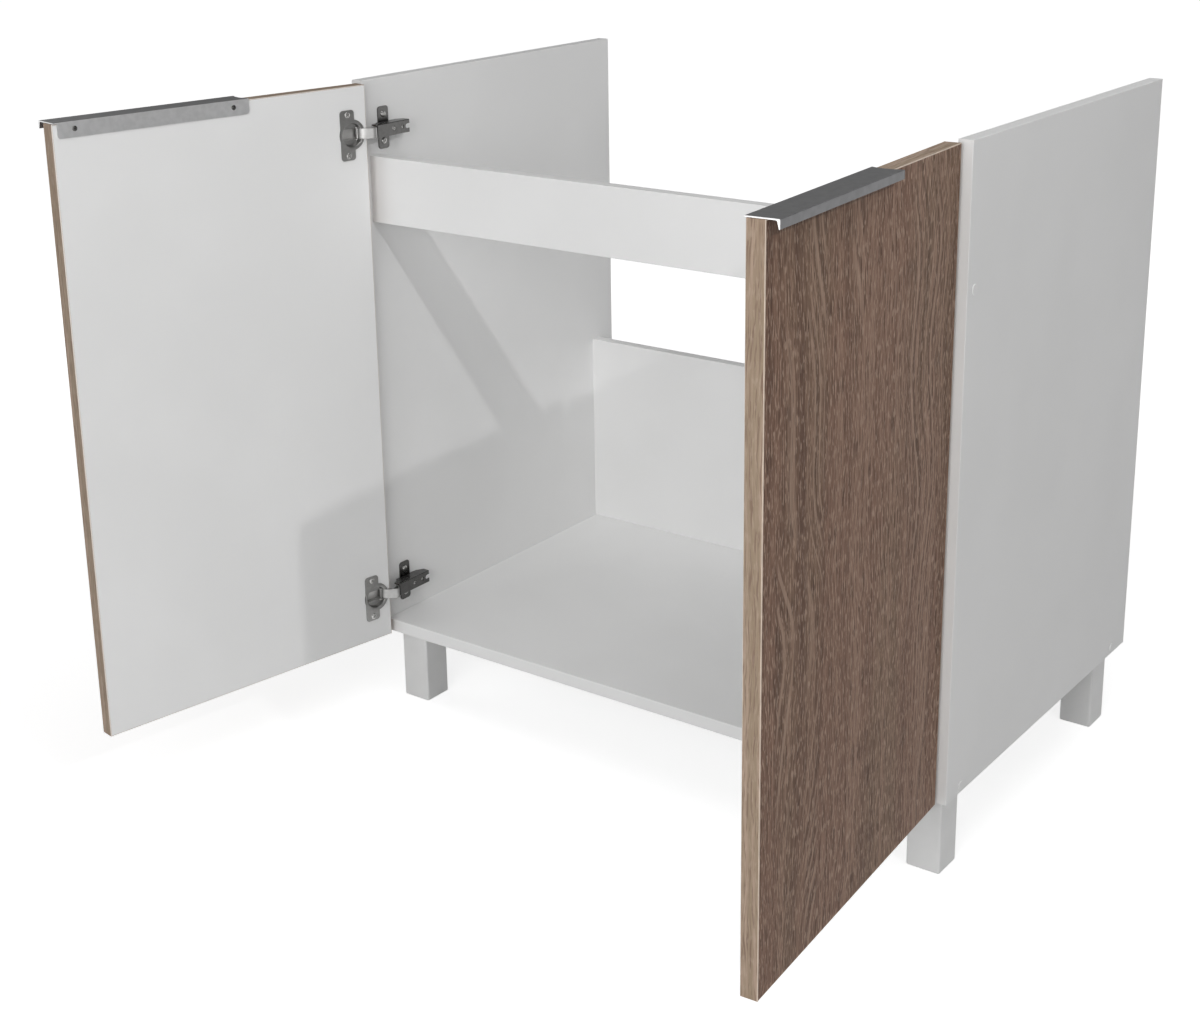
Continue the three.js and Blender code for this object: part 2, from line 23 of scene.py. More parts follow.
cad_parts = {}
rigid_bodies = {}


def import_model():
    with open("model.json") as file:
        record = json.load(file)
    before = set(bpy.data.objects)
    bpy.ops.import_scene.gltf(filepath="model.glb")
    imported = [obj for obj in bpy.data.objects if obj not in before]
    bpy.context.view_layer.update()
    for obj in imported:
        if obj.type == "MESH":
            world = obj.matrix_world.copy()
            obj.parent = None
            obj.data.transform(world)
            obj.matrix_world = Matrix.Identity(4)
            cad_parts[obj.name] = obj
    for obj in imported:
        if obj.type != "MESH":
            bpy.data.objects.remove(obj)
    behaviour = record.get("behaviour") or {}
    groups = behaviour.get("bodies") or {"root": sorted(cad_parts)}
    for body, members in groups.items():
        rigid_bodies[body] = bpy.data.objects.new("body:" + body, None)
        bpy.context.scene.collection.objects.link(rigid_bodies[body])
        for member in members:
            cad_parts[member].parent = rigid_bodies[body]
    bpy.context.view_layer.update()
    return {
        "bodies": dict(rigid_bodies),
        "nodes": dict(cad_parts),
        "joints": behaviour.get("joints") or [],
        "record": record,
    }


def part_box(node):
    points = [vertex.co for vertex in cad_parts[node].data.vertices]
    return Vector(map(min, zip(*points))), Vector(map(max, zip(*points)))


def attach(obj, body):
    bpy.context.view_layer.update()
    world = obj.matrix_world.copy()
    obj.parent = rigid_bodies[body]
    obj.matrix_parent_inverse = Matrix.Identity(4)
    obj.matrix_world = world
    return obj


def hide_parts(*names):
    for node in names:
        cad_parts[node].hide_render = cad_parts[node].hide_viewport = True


LOG = logging.getLogger("sink_base_cabinet")
MM = 0.001  # metres in a millimetre
GAP = 0.3  # clearance between a piece and what it passes or lies on, in millimetres
WELD = 0.001  # corners closer than this many millimetres become one
SHARP_ANGLE = 38.0  # an edge that turns by more degrees than this stays sharp

Point = tuple[float, float]
Outline = Sequence[Point]
Rgb = tuple[float, float, float]


class Word(Enum):
    """A choice that node names spell in small letters."""

    @property
    def word(self) -> str:
        """The choice as the nodes spell it."""
        return self.name.lower()


class Side(Word):
    """The two sides of the cabinet. The value is the sign of x."""

    LEFT = -1
    RIGHT = 1


class Level(Word):
    """The two hinges of a door, or two screws of a hinge. The value is the sign of z from the middle."""

    UPPER = 1
    LOWER = -1


class Axis(Enum):
    """A plan axis. The value is its place in a vector."""

    X = 0
    Y = 1
    Z = 2


class Slot(Enum):
    """The record's material slots."""

    MELAMINE = "white_melamine"
    OAK = "oak_laminate"
    ALUMINIUM = "satin_aluminium"
    NICKEL = "nickel_steel"
    ZINC = "zinc_screw"
    PLASTIC = "white_plastic"


class Drive(Enum):
    """The recess in a screw's head."""

    CROSS = "cross"
    SLOTTED = "slotted"


class Grain(Enum):
    """Which way the wood decor runs."""

    UPRIGHT = "upright"
    LEVEL = "level"


# ---- shader graphs --------------------------------------------------------------------------


class Wire:
    """A shader value whose arithmetic adds Math nodes to its graph."""

    def __init__(self, graph: Graph, socket: bpy.types.NodeSocket | None) -> None:
        """Wraps one output socket of a node in the graph, or none where the node has no output."""
        self.graph = graph
        self.socket = socket

    def __add__(self, other: Wire | float) -> Wire:
        """Adds two values."""
        return self.graph.math("ADD", self, other)

    def __radd__(self, other: float) -> Wire:
        """Adds a value to a number."""
        return self.graph.math("ADD", other, self)

    def __sub__(self, other: Wire | float) -> Wire:
        """Takes a value from this one."""
        return self.graph.math("SUBTRACT", self, other)

    def __rsub__(self, other: float) -> Wire:
        """Takes this value from a number."""
        return self.graph.math("SUBTRACT", other, self)

    def __mul__(self, other: Wire | float) -> Wire:
        """Multiplies two values."""
        return self.graph.math("MULTIPLY", self, other)

    def __rmul__(self, other: float) -> Wire:
        """Multiplies a number by this value."""
        return self.graph.math("MULTIPLY", other, self)

    def between(self, low: float, high: float) -> Wire:
        """Rises smoothly from 0 at low to 1 at high.

        Args:
            low: the value that gives 0.
            high: the value that gives 1. It may be the lower of the two.

        Returns:
            The eased value.
        """
        settings = {"interpolation_type": "SMOOTHSTEP"}
        if low < high:
            return self.graph.node("ShaderNodeMapRange", settings, {0: self, 1: low, 2: high})
        return 1 - self.graph.node("ShaderNodeMapRange", settings, {0: self, 1: high, 2: low})


class Graph:
    """The node tree of one material or of the world."""

    def __init__(self, tree: bpy.types.NodeTree) -> None:
        """Empties the tree, ready for new nodes."""
        self.tree = tree
        tree.nodes.clear()

    @classmethod
    def of_material(cls, name: str) -> tuple[bpy.types.Material, Graph]:
        """Makes a material with an empty graph.

        Args:
            name: the material's name.

        Returns:
            The material and its graph.
        """
        material = bpy.data.materials.new(name)
        material.use_nodes = True
        return material, cls(material.node_tree)

    def node(
        self,
        kind: str,
        settings: Mapping[str, Any] | None = None,
        values: Mapping[int | str, Any] | None = None,
        output: int | str = 0,
    ) -> Wire:
        """Adds one node.

        Args:
            kind: the node's type.
            settings: its own settings, set first.
            values: numbers, colours or wires for its input sockets.
            output: the output socket that is wanted.

        Returns:
            A wire from that output.
        """
        made = self.tree.nodes.new(kind)
        for name, value in (settings or {}).items():
            setattr(made, name, value)
        for key, value in (values or {}).items():
            if isinstance(value, Wire):
                self.tree.links.new(value.socket, made.inputs[key])
            else:
                made.inputs[key].default_value = value
        return Wire(self, made.outputs[output] if len(made.outputs) else None)

    def math(self, operation: str, first: Wire | float, second: Wire | float) -> Wire:
        """Adds a Math node.

        Args:
            operation: the node's operation.
            first: its first value.
            second: its second value.

        Returns:
            The result.
        """
        return self.node("ShaderNodeMath", {"operation": operation}, {0: first, 1: second})

    def object_place(self) -> list[Wire]:
        """Reads where the shaded point is.

        Returns:
            Its x, y and z in metres, in the piece's own unturned frame.
        """
        place = self.node("ShaderNodeTexCoord", output="Object")
        split = self.node("ShaderNodeSeparateXYZ", values={0: place})
        return [Wire(self, part) for part in split.socket.node.outputs]

    def ray(self, kind: str) -> Wire:
        """1 on the rays of one kind, by the name of the Light Path output."""
        return self.node("ShaderNodeLightPath", output=kind)

    def seen(self) -> Wire:
        """1 on the rays that see the background: from the camera, mirrored, or through glass."""
        either = self.math("MAXIMUM", self.ray("Is Camera Ray"), self.ray("Is Glossy Ray"))
        return self.math("MAXIMUM", either, self.ray("Is Transmission Ray"))

    def noise(self, across: Wire, along: Wire, detail: float = 2.0, seed: float = 0.0) -> Wire:
        """Adds two-dimensional noise with a mean of a half.

        Args:
            across: the first coordinate, in cells.
            along: the second coordinate, in cells.
            detail: octaves of finer noise.
            seed: shift that makes one noise unlike another.

        Returns:
            The noise value.
        """
        place = self.node("ShaderNodeCombineXYZ", values={0: across + seed, 1: along})
        return self.node("ShaderNodeTexNoise", {"noise_dimensions": "2D"},
                         {"Vector": place, "Scale": 1.0, "Detail": detail})

    def speckle(self, cell: float, detail: float = 2.0) -> Wire:
        """Adds three-dimensional noise over the piece.

        Args:
            cell: size of its cells in millimetres.
            detail: octaves of finer noise.

        Returns:
            The noise value.
        """
        place = self.node("ShaderNodeTexCoord", output="Object")
        return self.node("ShaderNodeTexNoise", {"noise_dimensions": "3D"},
                         {"Vector": place, "Scale": 1 / (cell * MM), "Detail": detail})

    def mix(self, share: Wire | float, first: Wire | Rgb, second: Wire | Rgb) -> Wire:
        """Mixes two colours.

        Args:
            share: how much of the second colour there is.
            first: a colour.
            second: a colour.

        Returns:
            The mixed colour.
        """
        ends = [value if isinstance(value, Wire) else (*value, 1.0) for value in (first, second)]
        return self.node("ShaderNodeMix", {"data_type": "RGBA"},
                         {0: share, 6: ends[0], 7: ends[1]}, output=2)

    def bump(self, height: Wire, depth: float) -> Wire:
        """Turns a height between 0 and 1 into a normal.

        Args:
            height: the height value.
            depth: what a height of 1 stands for, in millimetres.

        Returns:
            The bent normal.
        """
        return self.node("ShaderNodeBump", values={"Strength": 1.0, "Distance": depth * MM, "Height": height})

    def surface(
        self,
        colour: Wire | Rgb,
        roughness: Wire | float,
        metallic: float = 0.0,
        normal: Wire | None = None,
        specular: float = 0.5,
    ) -> None:
        """Ends a material in one shader.

        Args:
            colour: base colour.
            roughness: roughness.
            metallic: 1 for bare metal.
            normal: bent normal, if any.
            specular: how strongly it mirrors, where 0.5 is the usual plastic.
        """
        values: dict[int | str, Any] = {
            "Base Color": colour if isinstance(colour, Wire) else (*colour, 1.0),
            "Roughness": roughness, "Metallic": metallic, "Specular IOR Level": specular,
        }
        if normal is not None:
            values["Normal"] = normal
        shader = self.node("ShaderNodeBsdfPrincipled", values=values)
        self.node("ShaderNodeOutputMaterial", values={"Surface": shader})


# ---- finishes -------------------------------------------------------------------------------


def darker(colour: Rgb, share: float) -> Rgb:
    """A colour with each channel scaled by the same share."""
    return (colour[0] * share, colour[1] * share, colour[2] * share)


@dataclass(frozen=True)
class PearlMelamine:
    """White melamine board or its edging, with a fine pearl texture."""

    name: str
    colour: Rgb = (0.80, 0.80, 0.797)
    roughness: float = 0.42
    pearl: float = 1.3
    pearl_depth: float = 0.012
    pearl_swing: float = 0.1
    cloud: float = 170.0
    cloud_share: float = 0.972

    def make(self) -> bpy.types.Material:
        """Makes the material.

        Returns:
            The material.
        """
        material, graph = Graph.of_material(self.name)
        pearl = graph.speckle(self.pearl, detail=1.0)
        cloud = graph.speckle(self.cloud)
        colour = graph.mix(cloud.between(0.35, 0.65), self.colour, darker(self.colour, self.cloud_share))
        bent = graph.bump(pearl, self.pearl_depth)
        graph.surface(colour, self.roughness + self.pearl_swing * (pearl - 0.5), normal=bent)
        return material


@dataclass(frozen=True)
class Cells:
    """Noise drawn out along the grain. Its cells' width and length are in millimetres."""

    width: float
    length: float
    detail: float
    seed: float


@dataclass(frozen=True)
class OakDecor:
    """Brown oak laminate: zones of tone, crinkled grooves, pale pores, and fans of sloping growth lines."""

    name: str
    grain: Grain
    groove: Rgb = (0.080, 0.043, 0.028)
    dark: Rgb = (0.122, 0.064, 0.042)
    middle: Rgb = (0.214, 0.120, 0.081)
    olive: Rgb = (0.204, 0.126, 0.082)
    light: Rgb = (0.300, 0.186, 0.132)
    fleck: Rgb = (0.520, 0.375, 0.285)
    fleck_share: float = 0.60
    groove_share: float = 0.75
    ring_share: float = 0.6
    pale_ring_share: float = 0.5
    fans: float = 1.0
    roughness: float = 0.55
    groove_swing: float = 0.1
    relief: float = 0.05
    specular: float = 0.12
    seed: float = 0.0
    wander_cells: Cells = Cells(150, 520, 2, 3.1)
    wander_reach: float = 46
    crinkle_cells: Cells = Cells(10, 30, 1, 9.4)
    crinkle_reach: float = 3.5
    slope_cells: Cells = Cells(900, 380, 1, 12.6)
    slope_reach: float = 190
    zone_cells: Cells = Cells(46, 1500, 2, 21.7)
    streak_cells: Cells = Cells(8, 420, 3, 33.2)
    line_cells: Cells = Cells(3.6, 240, 3, 40.5)
    groove_cells: Cells = Cells(1.9, 34, 2, 47.9)
    ring_cells: Cells = Cells(6.5, 3000, 2, 58.3)
    pore_cells: Cells = Cells(1.8, 12, 2, 71.6)
    fan_cells: Cells = Cells(70, 900, 1, 83.8)
    cast_cells: Cells = Cells(105, 1100, 1, 95.5)

    def make(self) -> bpy.types.Material:
        """Makes the material.

        Returns:
            The material.
        """
        material, graph = Graph.of_material(self.name)
        x, y, z = graph.object_place()
        upright = self.grain is Grain.UPRIGHT
        across = ((x + y) if upright else (y + z)) * (1 / MM)
        along = (z if upright else x) * (1 / MM)

        def read(cells: Cells, shift: Wire | float = 0.0) -> Wire:
            """The noise of some cells, moved across the grain by a shift in millimetres."""
            return graph.noise((across + shift) * (1 / cells.width), along * (1 / cells.length),
                               cells.detail, cells.seed + self.seed)

        wander = (read(self.wander_cells) - 0.5) * self.wander_reach
        wavy = wander + (read(self.crinkle_cells) - 0.5) * self.crinkle_reach
        slope = wander + (read(self.slope_cells) - 0.5) * self.slope_reach
        zone = read(self.zone_cells, wander)
        streak = read(self.streak_cells, wander)
        line = read(self.line_cells, wander)
        groove = read(self.groove_cells, wavy)
        ring = read(self.ring_cells, slope)
        pore = read(self.pore_cells, wavy)
        fan = read(self.fan_cells).between(0.5, 0.64) * self.fans

        tone = 0.5 + 1.25 * (zone - 0.5) + 0.55 * (streak - 0.5) + 0.8 * (line - 0.5) + 0.6 * (groove - 0.5)
        base = graph.mix(read(self.cast_cells).between(0.4, 0.62), self.middle, self.olive)
        colour = graph.mix(tone.between(0.5, 0.86), base, self.light)
        colour = graph.mix(tone.between(0.5, 0.14), colour, self.dark)
        colour = graph.mix(groove.between(0.47, 0.32) * self.groove_share, colour, self.groove)
        colour = graph.mix(ring.between(0.46, 0.34) * fan * self.ring_share, colour, self.groove)
        pale_pore = pore.between(0.54, 0.68) * self.fleck_share
        pale_ring = ring.between(0.56, 0.68) * fan * self.pale_ring_share
        colour = graph.mix(graph.math("MAXIMUM", pale_pore, pale_ring), colour, self.fleck)
        bent = graph.bump(0.5 * (1 - pore.between(0.52, 0.72)) + 0.5 * groove, self.relief)
        roughness = self.roughness - self.groove_swing * (groove - 0.5)
        graph.surface(colour, roughness, normal=bent, specular=self.specular)
        return material


@dataclass(frozen=True)
class DrawnMetal:
    """Bare or plated metal with the fine lines of its making along the plan's x."""

    name: str
    colour: Rgb
    roughness: float
    line_length: float = 60.0
    line_width: float = 0.25
    line_depth: float = 0.002
    cloud: float = 9.0
    cloud_share: float = 0.9
    line_swing: float = 0.10
    cloud_swing: float = 0.08

    def make(self) -> bpy.types.Material:
        """Makes the material.

        Returns:
            The material.
        """
        material, graph = Graph.of_material(self.name)
        x, y, z = graph.object_place()
        lines = graph.noise((y + z) * (1 / (self.line_width * MM)), x * (1 / (self.line_length * MM)), 2.0)
        cloud = graph.speckle(self.cloud)
        colour = graph.mix(cloud.between(0.3, 0.7), self.colour, darker(self.colour, self.cloud_share))
        roughness = self.roughness + self.line_swing * (lines - 0.5) + self.cloud_swing * (cloud - 0.5)
        graph.surface(colour, roughness, metallic=1.0, normal=graph.bump(lines, self.line_depth))
        return material


@dataclass(frozen=True)
class MouldedPlastic:
    """White moulded plastic with the faint orange peel of its mould."""

    name: str
    colour: Rgb = (0.79, 0.79, 0.785)
    roughness: float = 0.4
    peel: float = 2.2
    peel_depth: float = 0.01
    cloud: float = 40.0
    cloud_share: float = 0.97
    cloud_swing: float = 0.12

    def make(self) -> bpy.types.Material:
        """Makes the material.

        Returns:
            The material.
        """
        material, graph = Graph.of_material(self.name)
        peel = graph.speckle(self.peel, detail=1.0)
        cloud = graph.speckle(self.cloud)
        colour = graph.mix(cloud.between(0.35, 0.65), self.colour, darker(self.colour, self.cloud_share))
        bent = graph.bump(peel, self.peel_depth)
        graph.surface(colour, self.roughness + self.cloud_swing * (cloud - 0.5), normal=bent)
        return material


class Finishes:
    """Every material of the cabinet, made once."""

    def __init__(self) -> None:
        """Makes the materials."""
        self.melamine = PearlMelamine("white melamine").make()
        self.white_edging = PearlMelamine("white edging", (0.82, 0.82, 0.817), 0.34, pearl_depth=0.004).make()
        self.oak = OakDecor("oak decor", Grain.UPRIGHT).make()
        banding: dict[str, Any] = {
            "groove": (0.215, 0.145, 0.108), "dark": (0.265, 0.18, 0.132), "middle": (0.33, 0.235, 0.175),
            "olive": (0.315, 0.24, 0.17), "light": (0.41, 0.305, 0.235), "fleck": (0.56, 0.44, 0.36),
            "fleck_share": 0.22, "fans": 0.0, "roughness": 0.46,
        }
        self.upright_banding = OakDecor("oak banding upright", Grain.UPRIGHT, seed=140.0, **banding).make()
        self.level_banding = OakDecor("oak banding level", Grain.LEVEL, seed=160.0, **banding).make()
        # The outer arris's pale tan is a painted highlight along the rounded edge; the inner arris is painted
        # near white, so no brown line shows on the inner face.
        pale_arris = {"roughness": 0.36, "cloud": 14.0}
        self.arris = PearlMelamine("outer oak arris", (0.66, 0.54, 0.44), cloud_share=0.82, **pale_arris).make()
        self.inner_arris = PearlMelamine("inner oak arris", (0.72, 0.66, 0.61), **pale_arris).make()
        self.aluminium = DrawnMetal("satin aluminium", (0.34, 0.34, 0.345), 0.5).make()
        # The handle is all one aluminium: the lip's darker copy is painted shade and the flange's lighter
        # copy is painted light.
        self.lip_aluminium = DrawnMetal("lip aluminium", (0.20, 0.20, 0.204), 0.5).make()
        self.flange_aluminium = DrawnMetal("brushed aluminium", (0.69, 0.69, 0.695), 0.42).make()
        self.cut_aluminium = DrawnMetal("cut aluminium", (0.86, 0.86, 0.86), 0.5).make()
        plated = {"line_length": 12.0, "line_width": 0.6, "line_depth": 0.0015, "cloud": 5.0}
        # The nickel's very dark colour is a painted reflection of a dark surround; the cup and the links take
        # lighter copies of the same plating as painted light.
        self.nickel = DrawnMetal("nickel plate", (0.135, 0.133, 0.13), 0.26, **plated).make()
        self.cup_nickel = DrawnMetal("satin nickel plate", (0.30, 0.297, 0.29), 0.34, **plated).make()
        # The pocket's pale copy of the nickel is painted light that lifts the shade in that recess.
        self.pocket_nickel = DrawnMetal("bright nickel plate", (0.64, 0.635, 0.625), 0.5).make()
        self.link_steel = DrawnMetal("bright link steel", (0.42, 0.417, 0.41), 0.42, **plated).make()
        self.zinc = DrawnMetal("zinc plate", (0.50, 0.495, 0.485), 0.24, line_length=3.0, line_width=0.4,
                               line_depth=0.0015, cloud=2.5).make()
        self.plastic = MouldedPlastic("white plastic").make()


# ---- forms ----------------------------------------------------------------------------------


def arc(centre: Point, radius: float, start: float, end: float, steps: int) -> list[Point]:
    """Points on a circular arc.

    Args:
        centre: the arc's centre.
        radius: its radius.
        start: first angle in degrees.
        end: last angle in degrees.
        steps: number of stretches between points.

    Returns:
        steps + 1 points.
    """
    angles = [math.radians(start + (end - start) * step / steps) for step in range(steps + 1)]
    return [(centre[0] + radius * math.cos(angle), centre[1] + radius * math.sin(angle)) for angle in angles]


def rounded_rectangle(low: Point, high: Point, radii: Sequence[float], steps: int = 6) -> list[Point]:
    """A rectangle with rounded corners.

    Args:
        low: lower left corner.
        high: upper right corner.
        radii: radii at the lower left, lower right, upper right and upper left. 0 leaves a corner sharp.
        steps: number of stretches in each round.

    Returns:
        The outline, anticlockwise.
    """
    corners = [(low[0], low[1], 1, 1, 180), (high[0], low[1], -1, 1, 270),
               (high[0], high[1], -1, -1, 0), (low[0], high[1], 1, -1, 90)]
    outline: list[Point] = []
    for (x, y, inward_x, inward_y, start), radius in zip(corners, radii):
        if radius > 0:
            outline += arc((x + inward_x * radius, y + inward_y * radius), radius, start, start + 90, steps)
        else:
            outline.append((x, y))
    return outline


def smooth_path(points: Outline, steps: int) -> list[Point]:
    """A centripetal Catmull-Rom curve through points, as an even run of points.

    Args:
        points: the points that it passes.
        steps: number of even stretches.

    Returns:
        steps + 1 points.
    """
    knots = [Vector(point) for point in points]
    knots = [2 * knots[0] - knots[1], *knots, 2 * knots[-1] - knots[-2]]
    fine: list[Vector] = []
    fine_steps = 24
    for before, start, end, after in zip(knots, knots[1:], knots[2:], knots[3:]):
        pace = [math.sqrt((b - a).length) for a, b in ((before, start), (start, end), (end, after))]
        leave = ((start - before) / pace[0] - (end - before) / (pace[0] + pace[1]) + (end - start) / pace[1])
        arrive = ((end - start) / pace[1] - (after - start) / (pace[1] + pace[2]) + (after - end) / pace[2])
        leave, arrive = leave * pace[1], arrive * pace[1]
        for step in range(fine_steps):
            t = step / fine_steps
            fine.append(start * (2 * t**3 - 3 * t**2 + 1) + end * (3 * t**2 - 2 * t**3)
                        + leave * (t**3 - 2 * t**2 + t) + arrive * (t**3 - t**2))
    fine.append(knots[-2])
    reach = [0.0]
    for a, b in zip(fine, fine[1:]):
        reach.append(reach[-1] + (b - a).length)
    even: list[Point] = []
    here = 0
    for step in range(steps + 1):
        wanted = reach[-1] * step / steps
        while here < len(fine) - 2 and reach[here + 1] < wanted:
            here += 1
        share = (wanted - reach[here]) / (reach[here + 1] - reach[here])
        point = fine[here].lerp(fine[here + 1], min(share, 1.0))
        even.append((point.x, point.y))
    return even


def offset_path(path: Outline, distance: float) -> list[Point]:
    """A path moved to its left by a distance, point by point.

    Args:
        path: the points.
        distance: how far to the left of the direction of travel.

    Returns:
        The moved points.
    """
    moved: list[Point] = []
    for index, point in enumerate(path):
        ahead = Vector(path[min(index + 1, len(path) - 1)])
        behind = Vector(path[max(index - 1, 0)])
        along = (ahead - behind).normalized()
        moved.append((point[0] - along.y * distance, point[1] + along.x * distance))
    return moved


class Form:
    """A closed mesh in plan millimetres, which its makers add to, cut and round."""

    def __init__(self) -> None:
        """Starts an empty mesh."""
        self.mesh = bmesh.new()

    def prism(self, outline: Outline, axis: Axis, low: float, high: float) -> Form:
        """Adds an outline carried along an axis.

        Args:
            outline: points in the two other axes, in the order of x, y and z.
            axis: the axis it is carried along.
            low: where it starts.
            high: where it ends.

        Returns:
            The same form.
        """
        lift: Callable[[Point, float], tuple[float, float, float]] = {
            Axis.X: lambda point, height: (height, point[0], point[1]),
            Axis.Y: lambda point, height: (point[0], height, point[1]),
            Axis.Z: lambda point, height: (point[0], point[1], height),
        }[axis]
        base = [self.mesh.verts.new(lift(point, low)) for point in outline]
        top = [self.mesh.verts.new(lift(point, high)) for point in outline]
        faces = [self.mesh.faces.new(base), self.mesh.faces.new(top)]
        for index in range(len(outline)):
            after = (index + 1) % len(outline)
            faces.append(self.mesh.faces.new((base[index], base[after], top[after], top[index])))
        bmesh.ops.recalc_face_normals(self.mesh, faces=faces)
        return self

    def box(self, low: Sequence[float], high: Sequence[float]) -> Form:
        """Adds a box between two corners."""
        outline = [(low[0], low[1]), (high[0], low[1]), (high[0], high[1]), (low[0], high[1])]
        return self.prism(outline, Axis.Z, low[2], high[2])

    def turned(
        self,
        profile: Outline,
        base: Sequence[float],
        direction: Sequence[float],
        sides: int = 32,
    ) -> Form:
        """Adds a body of revolution.

        Args:
            profile: [radius, distance from the base] points, starting and ending on the axis.
            base: where the distance is 0.
            direction: the way the axis points.
            sides: number of sides.

        Returns:
            The same form.
        """
        turn = Vector((0, 0, 1)).rotation_difference(Vector(direction))
        rings: list[list[bmesh.types.BMVert]] = []
        for radius, distance in profile:
            count = sides if radius > 0 else 1
            ring = []
            for step in range(count):
                angle = 2 * math.pi * step / sides
                place = Vector((radius * math.cos(angle), radius * math.sin(angle), distance))
                ring.append(self.mesh.verts.new(turn @ place + Vector(base)))
            rings.append(ring)
        faces = []
        for lower, upper in zip(rings, rings[1:]):
            for step in range(sides):
                after = (step + 1) % sides
                corners = [lower[step % len(lower)], lower[after % len(lower)],
                           upper[after % len(upper)], upper[step % len(upper)]]
                unlike = list(dict.fromkeys(corners))
                if len(unlike) > 2:
                    faces.append(self.mesh.faces.new(unlike))
        bmesh.ops.recalc_face_normals(self.mesh, faces=faces)
        return self

    def rod(self, start: Sequence[float], end: Sequence[float], radius: float, sides: int = 32) -> Form:
        """Adds a cylinder from one point to another."""
        span = Vector(end) - Vector(start)
        return self.turned([(0, 0), (radius, 0), (radius, span.length), (0, span.length)], start, span, sides)

    def round_edges(self, width: float, steps: int = 2, sharper_than: float = 35.0) -> Form:
        """Rounds every sharp edge.

        Args:
            width: width of the rounding.
            steps: number of stretches across it.
            sharper_than: least angle between the two faces, in degrees.

        Returns:
            The same form.
        """
        limit = math.radians(sharper_than)
        edges = [edge for edge in self.mesh.edges
                 if len(edge.link_faces) == 2 and edge.calc_face_angle() > limit]
        bmesh.ops.bevel(self.mesh, geom=edges, offset=width, offset_type="OFFSET", segments=steps,
                        profile=0.5, affect="EDGES", clamp_overlap=True)
        return self

    def _combine(self, operation: str, others: Iterable[Form]) -> Form:
        """Joins other forms to this one, or cuts them from it.

        Args:
            operation: UNION or DIFFERENCE.
            others: the other forms, which are used up.

        Returns:
            The same form.
        """
        for other in others:
            host, tool = (_scratch(form.mesh) for form in (self, other))
            modifier = host.modifiers.new("combine", "BOOLEAN")
            modifier.operation = operation
            modifier.solver = "MANIFOLD"
            modifier.object = tool
            evaluated = host.evaluated_get(bpy.context.evaluated_depsgraph_get())
            result = bpy.data.meshes.new_from_object(evaluated)
            self.mesh.clear()
            self.mesh.from_mesh(result)
            other.mesh.free()
            for scratch in (host, tool):
                data = scratch.data
                bpy.data.objects.remove(scratch)
                bpy.data.meshes.remove(data)
            bpy.data.meshes.remove(result)
        return self

    def join(self, *others: Form) -> Form:
        """Joins other forms to this one."""
        return self._combine("UNION", others)

    def cut(self, *others: Form) -> Form:
        """Cuts other forms from this one."""
        return self._combine("DIFFERENCE", others)

    def paint(self, finish: int, wanted: Callable[[Vector, Vector], bool]) -> Form:
        """Gives faces one of the piece's finishes.

        Args:
            finish: the finish's place in the piece's list.
            wanted: says from a face's normal and middle whether it is one of them.

        Returns:
            The same form.
        """
        self.mesh.normal_update()
        for face in self.mesh.faces:
            if wanted(face.normal, face.calc_center_median()):
                face.material_index = finish
        return self

    def finished(self, name: str, carry: Callable[[Vector], Vector], mirrored: bool) -> bpy.types.Mesh:
        """Ends the form as a mesh.

        Args:
            name: the mesh's name.
            carry: takes a point in plan millimetres to metres.
            mirrored: whether carry turns the mesh inside out.

        Returns:
            The mesh, smooth but for its sharp edges.
        """
        bmesh.ops.remove_doubles(self.mesh, verts=self.mesh.verts, dist=WELD)
        for vertex in self.mesh.verts:
            vertex.co = carry(vertex.co.copy())
        if mirrored:
            bmesh.ops.reverse_faces(self.mesh, faces=self.mesh.faces)
        mesh = bpy.data.meshes.new(name)
        self.mesh.to_mesh(mesh)
        self.mesh.free()
        mesh.polygons.foreach_set("use_smooth", [True] * len(mesh.polygons))
        mesh.set_sharp_from_angle(angle=math.radians(SHARP_ANGLE))
        return mesh


def _scratch(mesh: bmesh.types.BMesh) -> bpy.types.Object:
    """Puts a copy of a mesh into the scene for a moment.

    Args:
        mesh: the mesh to copy.

    Returns:
        The object that holds the copy.
    """
    data = bpy.data.meshes.new("scratch")
    mesh.to_mesh(data)
    made = bpy.data.objects.new("scratch", data)
    bpy.context.scene.collection.objects.link(made)
    return made


# ---- places ---------------------------------------------------------------------------------


@dataclass(frozen=True)
class Survey:
    """The cabinet's own zero in the row frame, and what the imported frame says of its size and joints."""

    zero: Vector
    width: float
    joints: Mapping[str, Mapping[str, Any]]

    @classmethod
    def take(cls, frame: Mapping[str, Any]) -> Survey:
        """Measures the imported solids.

        Args:
            frame: what the frame's loading gave.

        Returns:
            The survey.
        """
        left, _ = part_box("left_side_panel")
        _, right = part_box("right_side_panel")
        zero = Vector(((left.x + right.x) / 2, left.y, 0.0))
        return cls(zero, (right.x - left.x) / MM, {joint["name"]: joint for joint in frame["joints"]})

    def box(self, node: str, side: Side) -> tuple[Vector, Vector]:
        """A resting node's corners in plan millimetres.

        Args:
            node: the node.
            side: the side whose outer face x starts from.

        Returns:
            The lowest and the highest corner.
        """
        low, high = ((corner - self.zero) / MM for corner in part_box(node))
        across = sorted(self.width / 2 - side.value * x for x in (low.x, high.x))
        return Vector((across[0], low.y, low.z)), Vector((across[1], high.y, high.z))

    def opening(self, side: Side) -> float:
        """How far a door stands open at rest, in degrees, from the ends of its joint's range."""
        low, high = self.joints[f"{side.word}_door_swing"]["range_deg"]
        return Hinge.full_swing * low / (low - high)


